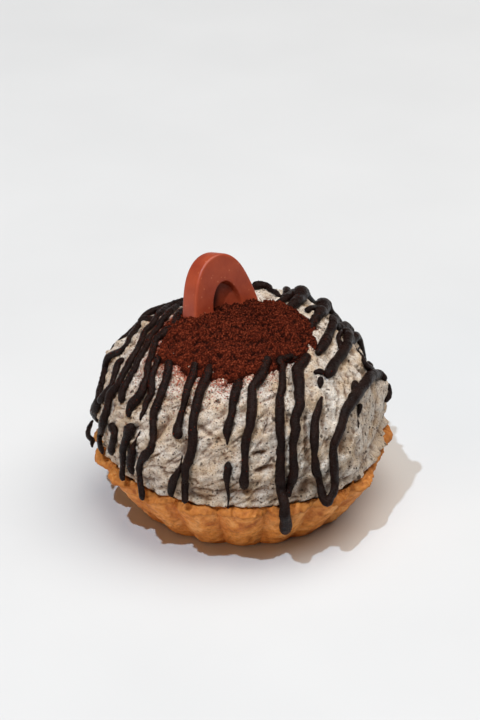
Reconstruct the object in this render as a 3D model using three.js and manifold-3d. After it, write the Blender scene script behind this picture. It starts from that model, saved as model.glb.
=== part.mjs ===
// A small banoffee pie: a fluted pastry case filled with a dome of speckled whipped cream,
// piped with chocolate, topped with a heap of cocoa and one upright oval chocolate.
// Millimetres, +Z up. The origin is the middle of the base, and -Y is the front.

import * as THREE from 'three';
import { mergeVertices } from 'three/addons/utils/BufferGeometryUtils.js';
import Module from 'manifold-3d';

const wasm = await Module();
wasm.setup();

// Driving dimensions in millimetres, angles in degrees.
// Azimuth turns from +X towards +Y, and the front of the pie is at 270.

const GAP = 0.3; // air kept between pieces that touch

const CASE = {
  height: 18.2,
  baseRadius: 29.0,
  rimRadius: 42.3, // to the tips of the flutes
  flutes: 19,
  firstCrease: 13.6, // azimuth of one crease between two flutes
  rimFlute: 2.7, // depth of a flute at the rim
  baseFlute: 0.9,
  fluteUneven: 0.15, // share by which one flute is deeper or flatter than the next
  fluteRoundness: 0.75, // 1 is a plain wave, less has a rounder back and a sharper crease
  belly: 0.7, // how far the wall bows out halfway up
  innerRim: 38.2,
  innerFloor: 25.4,
  innerFlute: 0.3, // what is left of the flutes on the inside
  floorThickness: 3.4,
  lipRound: 1.3,
  lipWave: { height: 0.3, count: 3, phase: 40 },
  columnsPerFlute: 6,
};

// The stretch of rim that has crumbled: less radius, less height and shallower flutes.
const WORN = { azimuth: 344, spread: 11, radius: 3.0, height: 0.8, flatten: 0.8, inside: 1.0 };

const CREAM = {
  radius: 40.0,
  equator: 24.0, // height of the widest part
  rise: 29.6, // from there to the crown
  squareness: 2.4, // 2 is an ellipse, more has fuller shoulders
  crownShift: [0.3, 1.0],
  rimRadius: 37.5, // where the cream meets the case
  tucked: -9, // elevation at which it has drawn in to that radius
  smooth: [-8, -3], // elevations between which the spatula marks begin
  inCase: { edge: 1.6, side: 1.0, floor: 0.7 }, // how far the cream keeps from the wall of the case
  columns: 44,
};

// Elevations of the cream's rows of points, seen from the middle of its widest part.
const CREAM_ROWS = [74, 62, 53, 45, 38, 31, 24, 17, 10, 4.5, 0.8, -2.8, -5.5];

// Hollows and swellings that the spatula left: [azimuth, elevation, spread, height].
const SWELLINGS = [
  [15, 25, 12, -4.4],
  [30, 33, 9, -0.4],
  [2, 15, 6, 1.1],
  [350, -1, 20, -2.6],
  [66, 48, 20, 2.2],
  [140, 42, 18, 1.2],
  [167, 24, 6, 2.4],
  [236, 7, 12, 1.4],
  [231, 24, 7, -1.0],
  [276, 33, 10, 0.7],
  [279, 13, 5, -0.9],
  [318, 30, 10, 0.6],
  [332, 8, 14, 0.9],
  [128, 18, 14, -1.2],
  [75, 12, 16, 0.8],
  [100, 30, 12, -1.1],
  [150, 6, 12, 0.9],
];

// Low upright and level smears: count waves in a turn, each bent by a slower wave across it.
const SMEARS = {
  upright: { height: 0.35, count: 7, bend: 3.1, bends: 4, phase: 0.6 },
  level: { height: 0.3, count: 11, bend: 2.0, bends: 3, phase: 0.9 },
};

// A long furrow just above the case, across the front.
const LEDGE = { from: 248, to: 298, fade: 6, elevation: 0.8, spread: 2.6, depth: 1.1 };

const DRIZZLE = {
  sides: 6,
  lift: 0.62, // height of a strand's middle over the cream, in half widths
  leaves: -0.5, // elevation where a drip starts to leave the cream
  clears: -7.5, // elevation where it is clear outside the case
  hangGap: 0.36, // air between a hanging drip and the case
  hangOver: [-3, 0, 3], // turns of azimuth that a drip spans
  tip: 0.55, // width left at the ends
  settles: 8, // rounds in which a drip finds its place outside the flutes
  run: { step: 11, dripStep: 4, width: 2.7, foot: 2.1 }, // a straight run down the dome
};

// The straight run of a strand down the dome at one azimuth, as points of the kind below.
function straight(azimuth, from, to) {
  const { step, dripStep, width, foot } = DRIZZLE.run;
  const points = [];
  let elevation = from;
  while (elevation > to) {
    points.push([azimuth, elevation, width]);
    elevation -= Math.min(step, Math.max(dripStep, elevation));
  }
  return [...points, [azimuth, to, foot]];
}

// Piped strands over the cream, as points [azimuth, elevation, width].
const STRANDS = [
  // left side, carried on over the top to the back
  [...straight(92, 26, -5).reverse(), [100, 36, 2.7], [109, 44, 2.6], [119, 46, 2.6], [130, 43, 2.7],
    [141, 38, 2.7], [152, 33, 2.8], [160, 27, 2.5], [167, 22, 2.7], [174, 15, 2.6], [179, 8, 2.7],
    [182, 3, 2.9], [184, -2, 2.8], [184, -5, 2.5], [184, -7.5, 1.9]],
  [...straight(80, 24, 2).reverse(), [87, 36, 2.7], [97, 46, 2.7], [111, 51, 2.6], [127, 48, 2.6],
    [140, 43, 2.6], [157, 41, 2.7], [178, 40, 2.8], [190, 35, 2.9], [198, 29, 2.8], [197, 22, 2.7],
    [191, 14, 2.7], [185, 9, 2.4]],
  [[147, 49, 2.6], [162, 48, 2.7], [177, 47, 2.8], [192, 43, 2.8], [201, 37, 2.7], [206, 29, 2.6],
    [206, 20, 2.2]],
  [[180, 31, 2.2], [184, 31, 2.4], [189, 25, 2.5], [194, 20, 2.2]],
  [[203, 24, 2.0], [202, 17, 2.5], [200, 10, 2.6], [198, 4, 2.5], [197, -2, 2.5], [197, -4.5, 2.5],
    [197, -6.5, 2.0]],
  [[206, 12, 2.7], [210, 8, 2.6], [209, 3, 2.5], [208, -2, 2.0]],
  [[150, 55, 2.4], [170, 56, 2.7], [184, 53, 2.8], [196, 48, 2.8], [206, 42, 2.8], [213, 34, 2.8],
    [217, 28, 2.8], [215, 22, 2.8], [217, 17, 2.2]],
  // front
  [[211, 44, 2.4], [217, 37, 2.7], [221, 31, 2.7], [223, 24, 2.6], [224, 19, 3.2], [218, 14, 3.6],
    [217, 7, 3.0], [216, 0, 2.8], [216, -3.5, 2.8], [218, -6.5, 2.3]],
  [[225, 16, 1.0], [221, 8, 2.2], [221, 2, 2.8], [222, -3, 2.2]],
  [[219, 47, 2.5], [225, 37, 2.7], [228, 29, 2.8], [230, 21, 2.8], [232, 14, 2.8], [230, 8, 2.8],
    [227, 2, 2.7], [228, -4, 2.7], [229, -7, 2.6], [229, -10, 2.2]],
  [[237, 48, 2.4], [239, 41, 2.6], [241, 33, 2.5], [241, 24, 2.8], [243, 18, 2.8]],
  [[249, 48, 2.7], [249, 40, 2.9], [249, 31, 2.9], [249, 22, 2.9], [250, 13, 2.9], [248, 5, 3.0],
    [248, -2, 2.8], [249, -5.5, 2.4]],
  [[244, 12, 1.0], [244, 7, 1.8], [242, 1, 2.6], [241, -3, 2.2]],
  [[269, 44, 2.4], [265, 37, 2.7], [263, 29, 2.8], [262, 23, 2.4], [263, 18, 1.0]],
  [[264, 13, 2.8], [264, 9, 2.8], [264, 3, 2.0], [264, -4, 1.5], [264, -7.5, 1.2]],
  [[287, 54, 2.8], [281, 47, 3.0], [275, 42, 2.8], [273, 35, 2.9], [271, 27, 3.0], [270, 18, 3.0],
    [270, 9, 3.0], [270, 1, 2.6]],
  [[307, 52, 2.6], [301, 54, 2.8], [294, 47, 2.9], [288, 39, 2.9], [285, 30, 2.9], [284, 20, 2.9],
    [282, 11, 2.9], [283, 2, 3.0], [284, -4, 3.2], [284, -8, 3.2], [285, -13, 3.3], [285, -18, 2.8]],
  [[315, 51, 2.6], [305, 47, 2.9], [297, 40, 3.0], [292, 31, 3.0], [290, 22, 3.0], [288, 13, 3.0],
    [287, 4, 3.0], [285, -3, 2.8]],
  [[308, 33, 1.3], [303, 28, 2.4], [299, 21, 2.9], [298, 13, 2.9], [298, 4, 2.9], [299, -3, 3.0],
    [300, -6.5, 2.9], [301.5, -7.5, 2.8], [302.5, -5.5, 2.8], [303.5, -2, 2.9], [305, 3, 3.0],
    [307, 10, 3.0], [311, 18, 3.0], [320, 24, 3.1], [327, 28, 3.2], [332, 31, 2.8]],
  [[361, 20, 2.6], [353, 24, 3.0], [343, 27, 3.0], [334, 28, 3.2], [328, 26, 3.6], [325, 22, 3.0]],
  [[325, 22, 1.4], [323, 17, 1.1], [321, 13, 1.0]],
  [[319, 44, 2.2], [314, 40, 2.4], [310, 35, 1.3]],
  // right side, carried on over the top to the back
  [[319, 47, 2.3], [329, 48, 2.5], [341, 49, 2.6], [355, 49, 2.6], [372, 46, 2.7], [384, 39, 2.6],
    [391, 33, 2.6], ...straight(397, 24, 3)],
  [[316, 39, 3.0], [328, 40, 3.3], [341, 41, 3.4], [355, 40, 3.4], [371, 36, 3.3], [382, 29, 3.0],
    ...straight(388, 20, -5)],
  [[338, 44, 1.8], [347, 45, 2.2], [366, 44, 2.0]],
  [[369, 33, 1.6], [362, 30, 1.9], [356, 25, 2.4], [357, 18, 2.2]],
  [[370, 17, 2.2], [364, 14, 2.6], [359, 8, 2.8], [357, 2, 2.0]],
  // back
  [[385, 52, 2.9], [396, 45, 3.3], ...straight(406, 37, -12)],
  [[408, 54, 2.6], ...straight(414, 46, 8)],
  [[420, 53, 2.6], ...straight(423, 45, -2)],
  [[446, 56, 2.9], [439, 49, 3.2], ...straight(431, 41, -10)],
  [[155, 34, 2.4], [146, 39, 2.6], [135, 40, 2.6], [123, 37, 2.6], [113, 30, 2.6],
    ...straight(106, 20, -1)],
  [[166, 15, 2.2], [157, 24, 2.6], [145, 28, 2.6], [132, 26, 2.6], ...straight(119, 16, -11)],
  [[176, 2, 2.2], [169, 9, 2.5], [158, 15, 2.6], [146, 15, 2.6], ...straight(134, 8, 0)],
];

// Heap of cocoa on the crown: radius of its outline every 30 degrees, from azimuth 0.
const COCOA = {
  outline: [19.5, 17.5, 14.5, 13.5, 14.0, 18.0, 23.0, 25.5, 26.0, 25.0, 21.5, 21.5],
  ripples: [
    { height: 0.5, count: 9, phase: 0 },
    { height: 0.4, count: 14, phase: 50 },
  ],
  thickness: 2.9,
  edge: 0.9,
  fullness: 0.6, // less is a flatter top with steeper sides
  bump: 0.38,
  columns: 36,
  rows: 5,
};

// Oval chocolate with a blind hollow in its face, pushed upright into the cream.
const OVAL = {
  halfWidth: 11.2,
  halfHeight: 17.0,
  thickness: 5.4,
  edgeRound: 1.1,
  hollow: {
    scale: 0.52,
    depth: 2.4,
    shift: [0.9, 0.9], // towards the right and the top of the face
    brim: 0.5, // width and depth of its rounded brim
    wallFoot: { share: 0.85, inset: 0.6 }, // where the wall turns into the floor, as a share of the depth
    floorInset: 1.8,
  },
  centre: [-4.5, 5.3, 53.2], // middle of the front face
  turn: 42, // the face is turned this far to the right of the front
  lean: 15, // the top leans back
  columns: 30,
};

const COLOURS = {
  pastry: 0xb8783f,
  cream: 0xc4b8aa,
  cocoa: 0x4f2015,
  chocolate: 0x914535,
};

const rad = THREE.MathUtils.degToRad;

// Repeatable value from 0 to 1 for a whole number.
function scatter(n) {
  const s = Math.sin(n * 127.1 + 11.7) * 43758.5453;
  return s - Math.floor(s);
}

// Smooth change from 0 to 1 as the value goes from one end to the other, in either direction.
function ramp(start, end, value) {
  const t = THREE.MathUtils.clamp((value - start) / (end - start), 0, 1);
  return t * t * (3 - 2 * t);
}

// Signed difference of two azimuths, from -180 to 180.
function turnBetween(a, b) {
  return ((((a - b + 180) % 360) + 360) % 360) - 180;
}

// Closed solid from a closed three.js geometry.
function solidOf(geometry) {
  const bare = geometry.clone();
  bare.deleteAttribute('normal');
  bare.deleteAttribute('uv');
  const merged = mergeVertices(bare, 1e-4);
  const mesh = new wasm.Mesh({
    numProp: 3,
    vertProperties: new Float32Array(merged.attributes.position.array),
    triVerts: new Uint32Array(merged.index.array),
  });
  return new wasm.Manifold(mesh);
}

// The main body of a fused solid: pockets that the fusing seals are filled, loose scraps dropped.
function mainBody(solid) {
  return solid.decompose().reduce((a, b) => (b.volume() > a.volume() ? b : a));
}

function geometryOf(solid) {
  const mesh = solid.getMesh();
  const geometry = new THREE.BufferGeometry();
  geometry.setAttribute('position', new THREE.BufferAttribute(mesh.vertProperties.slice(), 3));
  geometry.setIndex(new THREE.BufferAttribute(mesh.triVerts.slice(), 1));
  geometry.computeVertexNormals();
  return geometry;
}

function piece(name, solid, color, roughness) {
  const material = new THREE.MeshStandardMaterial({ color, roughness, metalness: 0 });
  const mesh = new THREE.Mesh(geometryOf(solid), material);
  mesh.name = name;
  return mesh;
}

// Lathe solid about Z from [radius, height] rows, each vertex then placed by move(v, row, azimuth).
function turned(rows, columns, move) {
  const profile = rows.map(([radius, height]) => new THREE.Vector2(radius, height));
  const geometry = new THREE.LatheGeometry(profile, columns);
  geometry.rotateX(Math.PI / 2);
  const position = geometry.attributes.position;
  const v = new THREE.Vector3();
  for (let i = 0; i < position.count; i += 1) {
    v.fromBufferAttribute(position, i);
    const row = i % rows.length;
    const column = Math.floor(i / rows.length) % columns;
    const azimuth = (column * 360) / columns;
    move(v, row, azimuth);
    position.setXYZ(i, v.x, v.y, v.z);
  }
  return solidOf(geometry);
}

// Pastry case

// 0 in a crease, 1 on the round back of a flute.
function fluteWave(azimuth) {
  const phase = (azimuth - CASE.firstCrease) * (CASE.flutes / 360);
  return Math.pow(Math.abs(Math.sin(Math.PI * phase)), CASE.fluteRoundness);
}

function fluteSize(azimuth) {
  const flute = Math.floor((azimuth - CASE.firstCrease) * (CASE.flutes / 360) + CASE.flutes);
  return 1 + CASE.fluteUneven * (2 * scatter(flute % CASE.flutes) - 1);
}

function worn(azimuth) {
  const away = turnBetween(azimuth, WORN.azimuth) / WORN.spread;
  return Math.exp(-away * away);
}

// Radius of the outside of the case, at a height from 0 to 1 of the whole.
function caseRadius(azimuth, level) {
  const full = THREE.MathUtils.lerp(CASE.baseFlute, CASE.rimFlute, level) * fluteSize(azimuth);
  const depth = full * (1 - WORN.flatten * worn(azimuth));
  const tips = THREE.MathUtils.lerp(CASE.baseRadius, CASE.rimRadius, level);
  const belly = CASE.belly * Math.sin(Math.PI * level);
  return tips + belly - depth * (1 - fluteWave(azimuth)) - WORN.radius * level * level * worn(azimuth);
}

function caseInnerRadius(azimuth, level) {
  const plain = THREE.MathUtils.lerp(CASE.innerFloor, CASE.innerRim, level);
  const flute = CASE.innerFlute * (1 - fluteWave(azimuth));
  return plain - level * (flute + WORN.inside * worn(azimuth));
}

function pastryCase() {
  const { height, floorThickness, lipRound, lipWave, flutes, columnsPerFlute } = CASE;
  const inner = (level) => floorThickness + (height - floorThickness) * level;
  // Rows up the outside, over the lip and down the inside. A row's level is its share of the height,
  // and part is its place across the wall, from 0 inside to 1 outside. An axis row is one point.
  const rows = [
    { z: 0, axis: true },
    { z: 0, level: 0, part: 0.7 },
    { z: 1.0, level: 0.05, part: 1 },
    { z: 0.25 * height, level: 0.25, part: 1 },
    { z: 0.5 * height, level: 0.5, part: 1 },
    { z: 0.75 * height, level: 0.75, part: 1 },
    { z: height - lipRound, level: 0.97, part: 1, lip: true },
    { z: height - 0.3 * lipRound, level: 1, part: 0.88, lip: true },
    { z: height, level: 1, part: 0.5, lip: true },
    { z: height - 0.25 * lipRound, level: 1, part: 0.1, lip: true },
    { z: height - 0.9 * lipRound, level: 0.98, part: 0, lip: true },
    { z: inner(0.5), level: 0.5, part: 0 },
    { z: floorThickness, level: 0, part: 0 },
    { z: floorThickness, axis: true },
  ];
  const start = rows.map((row) => [row.axis ? 0 : 1, row.z]);
  return turned(start, flutes * columnsPerFlute, (v, index, column) => {
    const azimuth = column + CASE.firstCrease;
    const row = rows[index];
    let radius = 0;
    if (!row.axis) {
      const inside = caseInnerRadius(azimuth, row.level);
      radius = THREE.MathUtils.lerp(inside, caseRadius(azimuth, row.level), row.part);
    }
    const wave = lipWave.height * Math.sin(rad(azimuth * lipWave.count + lipWave.phase));
    const z = row.z + (row.lip ? wave - WORN.height * worn(azimuth) : 0);
    v.set(radius * Math.cos(rad(azimuth)), radius * Math.sin(rad(azimuth)), z);
  });
}

// Whipped cream

// Distance from the middle of the cream's widest part to its smooth surface.
function domeRadius(elevation) {
  const e = rad(elevation);
  if (elevation < 0) {
    const tuck = (CREAM.radius - CREAM.rimRadius) * ramp(0, CREAM.tucked, elevation);
    return (CREAM.radius - tuck) / Math.cos(e);
  }
  const n = CREAM.squareness;
  const across = Math.cos(e) / CREAM.radius;
  const up = Math.sin(e) / CREAM.rise;
  return Math.pow(Math.pow(across, n) + Math.pow(up, n), -1 / n);
}

function smear({ height, count, bend, bends, phase }, along, across) {
  return height * Math.sin(count * along + bend * Math.sin(bends * across) + phase);
}

// Height of the spatula marks over the smooth dome.
function creamRelief(azimuth, elevation) {
  const shrink = Math.cos(rad(elevation));
  let height = 0;
  for (const [az, el, spread, rise] of SWELLINGS) {
    const across = (turnBetween(azimuth, az) * shrink) / spread;
    const up = (elevation - el) / spread;
    height += rise * Math.exp(-across * across - up * up);
  }
  const a = rad(azimuth);
  const e = rad(elevation);
  height += shrink * (smear(SMEARS.upright, a, e) + smear(SMEARS.level, e, a));
  const { from, to, fade } = LEDGE;
  const inLedge = ramp(from - fade, from, azimuth) * ramp(to + fade, to, azimuth);
  const fromLedge = (elevation - LEDGE.elevation) / LEDGE.spread;
  height -= LEDGE.depth * inLedge * Math.exp(-fromLedge * fromLedge);
  return height * ramp(...CREAM.smooth, elevation);
}

// Point over the cream: distance is measured from the middle of its widest part.
function atDistance(azimuth, elevation, distance) {
  const a = rad(azimuth);
  const e = rad(elevation);
  const lean = Math.max(0, Math.sin(e));
  return new THREE.Vector3(
    distance * Math.cos(e) * Math.cos(a) + CREAM.crownShift[0] * lean,
    distance * Math.cos(e) * Math.sin(a) + CREAM.crownShift[1] * lean,
    distance * Math.sin(e) + CREAM.equator,
  );
}

function creamDistance(azimuth, elevation) {
  return domeRadius(elevation) + creamRelief(azimuth, elevation);
}

function whippedCream() {
  const { height, floorThickness, innerFloor, innerRim } = CASE;
  const { edge, side, floor } = CREAM.inCase;
  // Heights and radii of the cream inside the case, from its lip down to its floor.
  const foot = [
    [height - edge, innerRim - edge],
    [0.5 * (height + floorThickness), 0.5 * (innerFloor + innerRim) - side],
    [floorThickness + GAP, innerFloor - floor],
  ];
  const top = CREAM_ROWS.length + 1;
  const rows = [[0, 2]];
  for (let i = 0; i < CREAM_ROWS.length; i += 1) rows.push([1, 1]);
  for (let i = 0; i < foot.length; i += 1) rows.push([1, 0]);
  rows.push([0, 0]);
  rows.reverse();
  const last = rows.length - 1;
  return turned(rows, CREAM.columns, (v, index, azimuth) => {
    const fromTop = last - index;
    if (fromTop === 0) v.copy(atDistance(0, 90, creamDistance(0, 90)));
    else if (fromTop < top) {
      const elevation = CREAM_ROWS[fromTop - 1];
      v.copy(atDistance(azimuth, elevation, creamDistance(azimuth, elevation)));
    } else if (fromTop < top + foot.length) {
      const [z, radius] = foot[fromTop - top];
      v.set(radius * Math.cos(rad(azimuth)), radius * Math.sin(rad(azimuth)), z);
    } else v.set(0, 0, floorThickness + GAP);
  });
}

// Piped chocolate

// Distance at which a drip hangs clear outside the case.
function hangingDistance(azimuth, elevation, halfWidth) {
  const slope = (CASE.rimRadius - CASE.baseRadius) / CASE.height;
  const clear = (halfWidth + DRIZZLE.hangGap) * Math.hypot(1, slope);
  let radius = CASE.rimRadius;
  for (let i = 0; i < DRIZZLE.settles; i += 1) {
    const z = CREAM.equator + radius * Math.tan(rad(elevation));
    const level = Math.min(z / CASE.height, 1);
    const wall = DRIZZLE.hangOver.map((turn) => caseRadius(azimuth + turn, level));
    radius = Math.max(...wall) + clear + Math.max(0, z - CASE.height) * slope;
  }
  return radius / Math.cos(rad(elevation));
}

// Distance of a strand's middle: it lies on the cream and passes clear over the rim of the case.
function strandDistance(azimuth, elevation, halfWidth) {
  const onCream = creamDistance(azimuth, elevation) + DRIZZLE.lift * halfWidth;
  if (elevation > DRIZZLE.leaves) return onCream;
  const hanging = hangingDistance(azimuth, elevation, halfWidth);
  return THREE.MathUtils.lerp(onCream, hanging, ramp(DRIZZLE.leaves, DRIZZLE.clears, elevation));
}

// A strand's centre line over the cream, with its width along it.
class StrandCurve extends THREE.Curve {
  constructor(points) {
    super();
    const guides = points.map((point) => new THREE.Vector3(...point));
    this.guide = new THREE.CatmullRomCurve3(guides, false, 'centripetal');
  }

  halfWidth(t) {
    return 0.5 * this.guide.getPoint(t).z;
  }

  getPoint(t) {
    const { x: azimuth, y: elevation, z: width } = this.guide.getPoint(t);
    return atDistance(azimuth, elevation, strandDistance(azimuth, elevation, 0.5 * width));
  }
}

// A closed round strand: a cylinder bent along the curve, a ring at each point, and drawn-in ends.
function strand(points) {
  const curve = new StrandCurve(points);
  const steps = points.length - 1;
  const geometry = new THREE.CylinderGeometry(1, 1, steps, DRIZZLE.sides, steps);
  const position = geometry.attributes.position;
  const middle = new THREE.Vector3(0, 0, CREAM.equator);
  const v = new THREE.Vector3();
  const side = new THREE.Vector3();
  const out = new THREE.Vector3();
  for (let i = 0; i < position.count; i += 1) {
    v.fromBufferAttribute(position, i);
    const step = Math.round(steps / 2 - v.y);
    const t = step / steps;
    const along = curve.getTangent(t);
    const centre = curve.getPoint(t);
    out.subVectors(centre, middle);
    out.addScaledVector(along, -out.dot(along)).normalize();
    side.crossVectors(along, out);
    const end = step === 0 || step === steps ? DRIZZLE.tip : 1;
    const radius = curve.halfWidth(t) * end;
    v.copy(centre).addScaledVector(out, radius * position.getX(i));
    v.addScaledVector(side, radius * position.getZ(i));
    position.setXYZ(i, v.x, v.y, v.z);
  }
  return solidOf(geometry);
}

// Cocoa heap

function heapOutline(azimuth) {
  const n = COCOA.outline.length;
  const place = ((((azimuth % 360) + 360) % 360) / 360) * n;
  const first = Math.floor(place) % n;
  const part = place - Math.floor(place);
  const blend = 0.5 - 0.5 * Math.cos(Math.PI * part);
  let radius = THREE.MathUtils.lerp(COCOA.outline[first], COCOA.outline[(first + 1) % n], blend);
  for (const { height, count, phase } of COCOA.ripples) {
    radius += height * Math.sin(rad(azimuth * count + phase));
  }
  return radius;
}

// Height of the cream's surface at a plan radius, found by halving the range of elevation.
function creamHeightAt(azimuth, radius) {
  const halvings = 24;
  let low = 0;
  let high = 90;
  for (let i = 0; i < halvings; i += 1) {
    const middle = 0.5 * (low + high);
    const p = atDistance(azimuth, middle, creamDistance(azimuth, middle));
    if (Math.hypot(p.x, p.y) > radius) low = middle;
    else high = middle;
  }
  return atDistance(azimuth, low, creamDistance(azimuth, low)).z;
}

// The heap, or with grow the same shape larger all round, as the tool that makes room for it.
function cocoaHeap(grow) {
  const { rows: count, columns, thickness, edge, fullness, bump } = COCOA;
  const rows = [[0, 0]];
  for (let i = 1; i <= count; i += 1) rows.push([i / count, 0]);
  for (let i = count; i >= 1; i -= 1) rows.push([i / count, 1]);
  rows.push([0, 1]);
  return turned(rows, columns, (v, index, azimuth) => {
    const [share, upper] = rows[index];
    const radius = share * (heapOutline(azimuth) + grow);
    const under = creamHeightAt(azimuth, radius);
    const swell = edge + (thickness - edge) * Math.pow(1 - share * share, fullness);
    const rough = share > 0 ? bump * (2 * scatter(index * columns * 2 + Math.round(azimuth)) - 1) : 0;
    const z = upper ? under + swell + grow + rough : under - grow;
    v.set(radius * Math.cos(rad(azimuth)), radius * Math.sin(rad(azimuth)), z);
  });
}

// Oval chocolate

// How far the middle of a round edge stays inside the corner, as a share of its radius.
const ROUND_MIDDLE = 1 - Math.SQRT1_2;

// The oval, or with grow the same shape larger all round and without its hollow.
function ovalChocolate(grow) {
  const { halfWidth, halfHeight, thickness, edgeRound, hollow, columns } = OVAL;
  const front = grow;
  const back = -thickness - grow;
  const middle = ROUND_MIDDLE * edgeRound;
  const face = [
    { z: back, scale: 0 },
    { z: back, scale: 1, inset: edgeRound },
    { z: back + middle, scale: 1, inset: middle },
    { z: back + edgeRound, scale: 1, inset: 0 },
    { z: front - edgeRound, scale: 1, inset: 0 },
    { z: front - middle, scale: 1, inset: middle },
    { z: front, scale: 1, inset: edgeRound },
  ];
  const { scale, depth, shift, brim, wallFoot, floorInset } = hollow;
  const bowl = [
    { z: front, scale, inset: -brim, shift },
    { z: front - brim, scale, inset: 0, shift },
    { z: front - wallFoot.share * depth, scale, inset: wallFoot.inset, shift },
    { z: front - depth, scale, inset: floorInset, shift },
    { z: front - depth, scale: 0, shift },
  ];
  const rows = grow > 0 ? [...face, { z: front, scale: 0 }] : [...face, ...bowl];
  const start = rows.map((row) => [row.scale === 0 ? 0 : 1, row.z]);
  const stand = new THREE.Matrix4()
    .makeTranslation(...OVAL.centre)
    .multiply(new THREE.Matrix4().makeRotationZ(rad(OVAL.turn)))
    .multiply(new THREE.Matrix4().makeRotationX(rad(90 - OVAL.lean)));
  return turned(start, columns, (v, index, azimuth) => {
    const row = rows[index];
    const step = row.scale === 0 ? 0 : grow - row.inset;
    const [shiftX, shiftY] = row.shift ?? [0, 0];
    const x = (row.scale * halfWidth + step) * Math.cos(rad(azimuth)) + shiftX;
    const y = (row.scale * halfHeight + step) * Math.sin(rad(azimuth)) + shiftY;
    v.set(x, y, row.z).applyMatrix4(stand);
  });
}

const room = ovalChocolate(GAP);
const heapRoom = cocoaHeap(GAP);

let cream = whippedCream();
for (const points of STRANDS) cream = cream.add(strand(points));
cream = mainBody(cream.subtract(heapRoom).subtract(room));

const pie = new THREE.Group();
pie.add(piece('crust', pastryCase(), COLOURS.pastry, 0.75));
pie.add(piece('cream', cream, COLOURS.cream, 0.7));
pie.add(piece('cocoa', cocoaHeap(0).subtract(room), COLOURS.cocoa, 1.0));
pie.add(piece('oval_chocolate', ovalChocolate(0), COLOURS.chocolate, 0.5));

export default pie;
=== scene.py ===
"""A small banoffee pie: fluted pastry, speckled whipped cream, piped chocolate, cocoa and a chocolate.

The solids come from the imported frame, and each piece here is a finer surface that stands for one of
them. Lengths are millimetres until a mesh is made, and angles are degrees. Azimuth turns from +X
towards +Y, so the front of the pie is at 270. Elevation is measured from the middle of the cream's
widest part.
"""

import logging
import math
from dataclasses import dataclass
from enum import Enum
from typing import Any, Mapping, Sequence

import bmesh
import bpy
import numpy as np
from mathutils import Euler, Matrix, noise


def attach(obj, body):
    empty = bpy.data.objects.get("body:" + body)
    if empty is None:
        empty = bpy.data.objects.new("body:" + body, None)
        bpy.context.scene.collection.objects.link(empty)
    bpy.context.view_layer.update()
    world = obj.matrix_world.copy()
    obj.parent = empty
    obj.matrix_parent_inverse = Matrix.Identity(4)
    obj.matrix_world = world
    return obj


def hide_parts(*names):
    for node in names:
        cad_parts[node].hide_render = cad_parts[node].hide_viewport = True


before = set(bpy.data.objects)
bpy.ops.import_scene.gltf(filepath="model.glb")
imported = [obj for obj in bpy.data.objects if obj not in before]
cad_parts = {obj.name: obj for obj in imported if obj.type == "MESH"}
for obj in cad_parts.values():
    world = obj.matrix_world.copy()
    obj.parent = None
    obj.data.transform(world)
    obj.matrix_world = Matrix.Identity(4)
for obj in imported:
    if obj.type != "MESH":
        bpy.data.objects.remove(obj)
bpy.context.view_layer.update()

LOG = logging.getLogger("banoffee_pie")
MM = 0.001
BODY = "root"


class Slot(Enum):
    """The record's material slots."""

    PASTRY = "pastry"
    CREAM = "cream"
    COCOA = "cocoa"
    CHOCOLATE = "chocolate"


# Numbers and noise


def scatter(number: int) -> float:
    """A repeatable value from 0 to 1 for a whole number, the same one as the solids use."""
    value = math.sin(number * 127.1 + 11.7) * 43758.5453
    return value - math.floor(value)


def ramp(start: float, end: float, value: np.ndarray | float) -> np.ndarray:
    """Smooth change from 0 to 1 as the value goes from start to end, in either direction."""
    share = np.clip((value - start) / (end - start), 0, 1)
    return share * share * (3 - 2 * share)


def turn_between(one: np.ndarray, other: float) -> np.ndarray:
    """Signed difference of two azimuths, from -180 to 180."""
    return (one - other + 180) % 360 - 180


def fractal(points: np.ndarray, size: float, octaves: int = 4, seed: float = 0.0) -> np.ndarray:
    """Fractal noise over points.

    Args:
        points: places in millimetres, with the last axis x, y, z.
        size: width of the largest features in millimetres.
        octaves: how many finer layers are summed.
        seed: moves the pattern.

    Returns:
        Values of about -1 to 1, in the shape of the points.
    """
    places = (points.reshape(-1, 3) / size + seed * 17.31).tolist()
    values = [noise.fractal(place, 1.0, 2.0, octaves) for place in places]
    return np.array(values).reshape(points.shape[:-1])


def wander(points: np.ndarray, size: float, seed: float) -> np.ndarray:
    """A noise vector for each point, which bends a pattern whose features are about this size."""
    return np.stack([fractal(points, size, 2, seed + i) for i in range(3)], -1)


@dataclass(frozen=True)
class Layer:
    """A layer of noise over a surface: its height and the width of its features, in millimetres."""

    height: float
    width: float
    octaves: int
    seed: float

    def over(self, points: np.ndarray) -> np.ndarray:
        """Heights of the layer over points in millimetres."""
        return self.height * fractal(points, self.width, self.octaves, self.seed)


@dataclass(frozen=True)
class Lines:
    """Wandering lines over a surface: their height and the size of what lies between them, in millimetres.

    Their half width is a share of the noise's range. A power of 1 gives straight sides, and more gives
    hollow ones.
    """

    height: float
    size: float
    half_width: float
    seed: float
    octaves: int = 3
    power: float = 1.5

    def over(self, points: np.ndarray) -> np.ndarray:
        """Heights of the lines over points in millimetres, and 0 between them."""
        away = np.abs(fractal(points, self.size, self.octaves, self.seed)) / self.half_width
        return self.height * np.clip(1 - away, 0, 1) ** self.power


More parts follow.
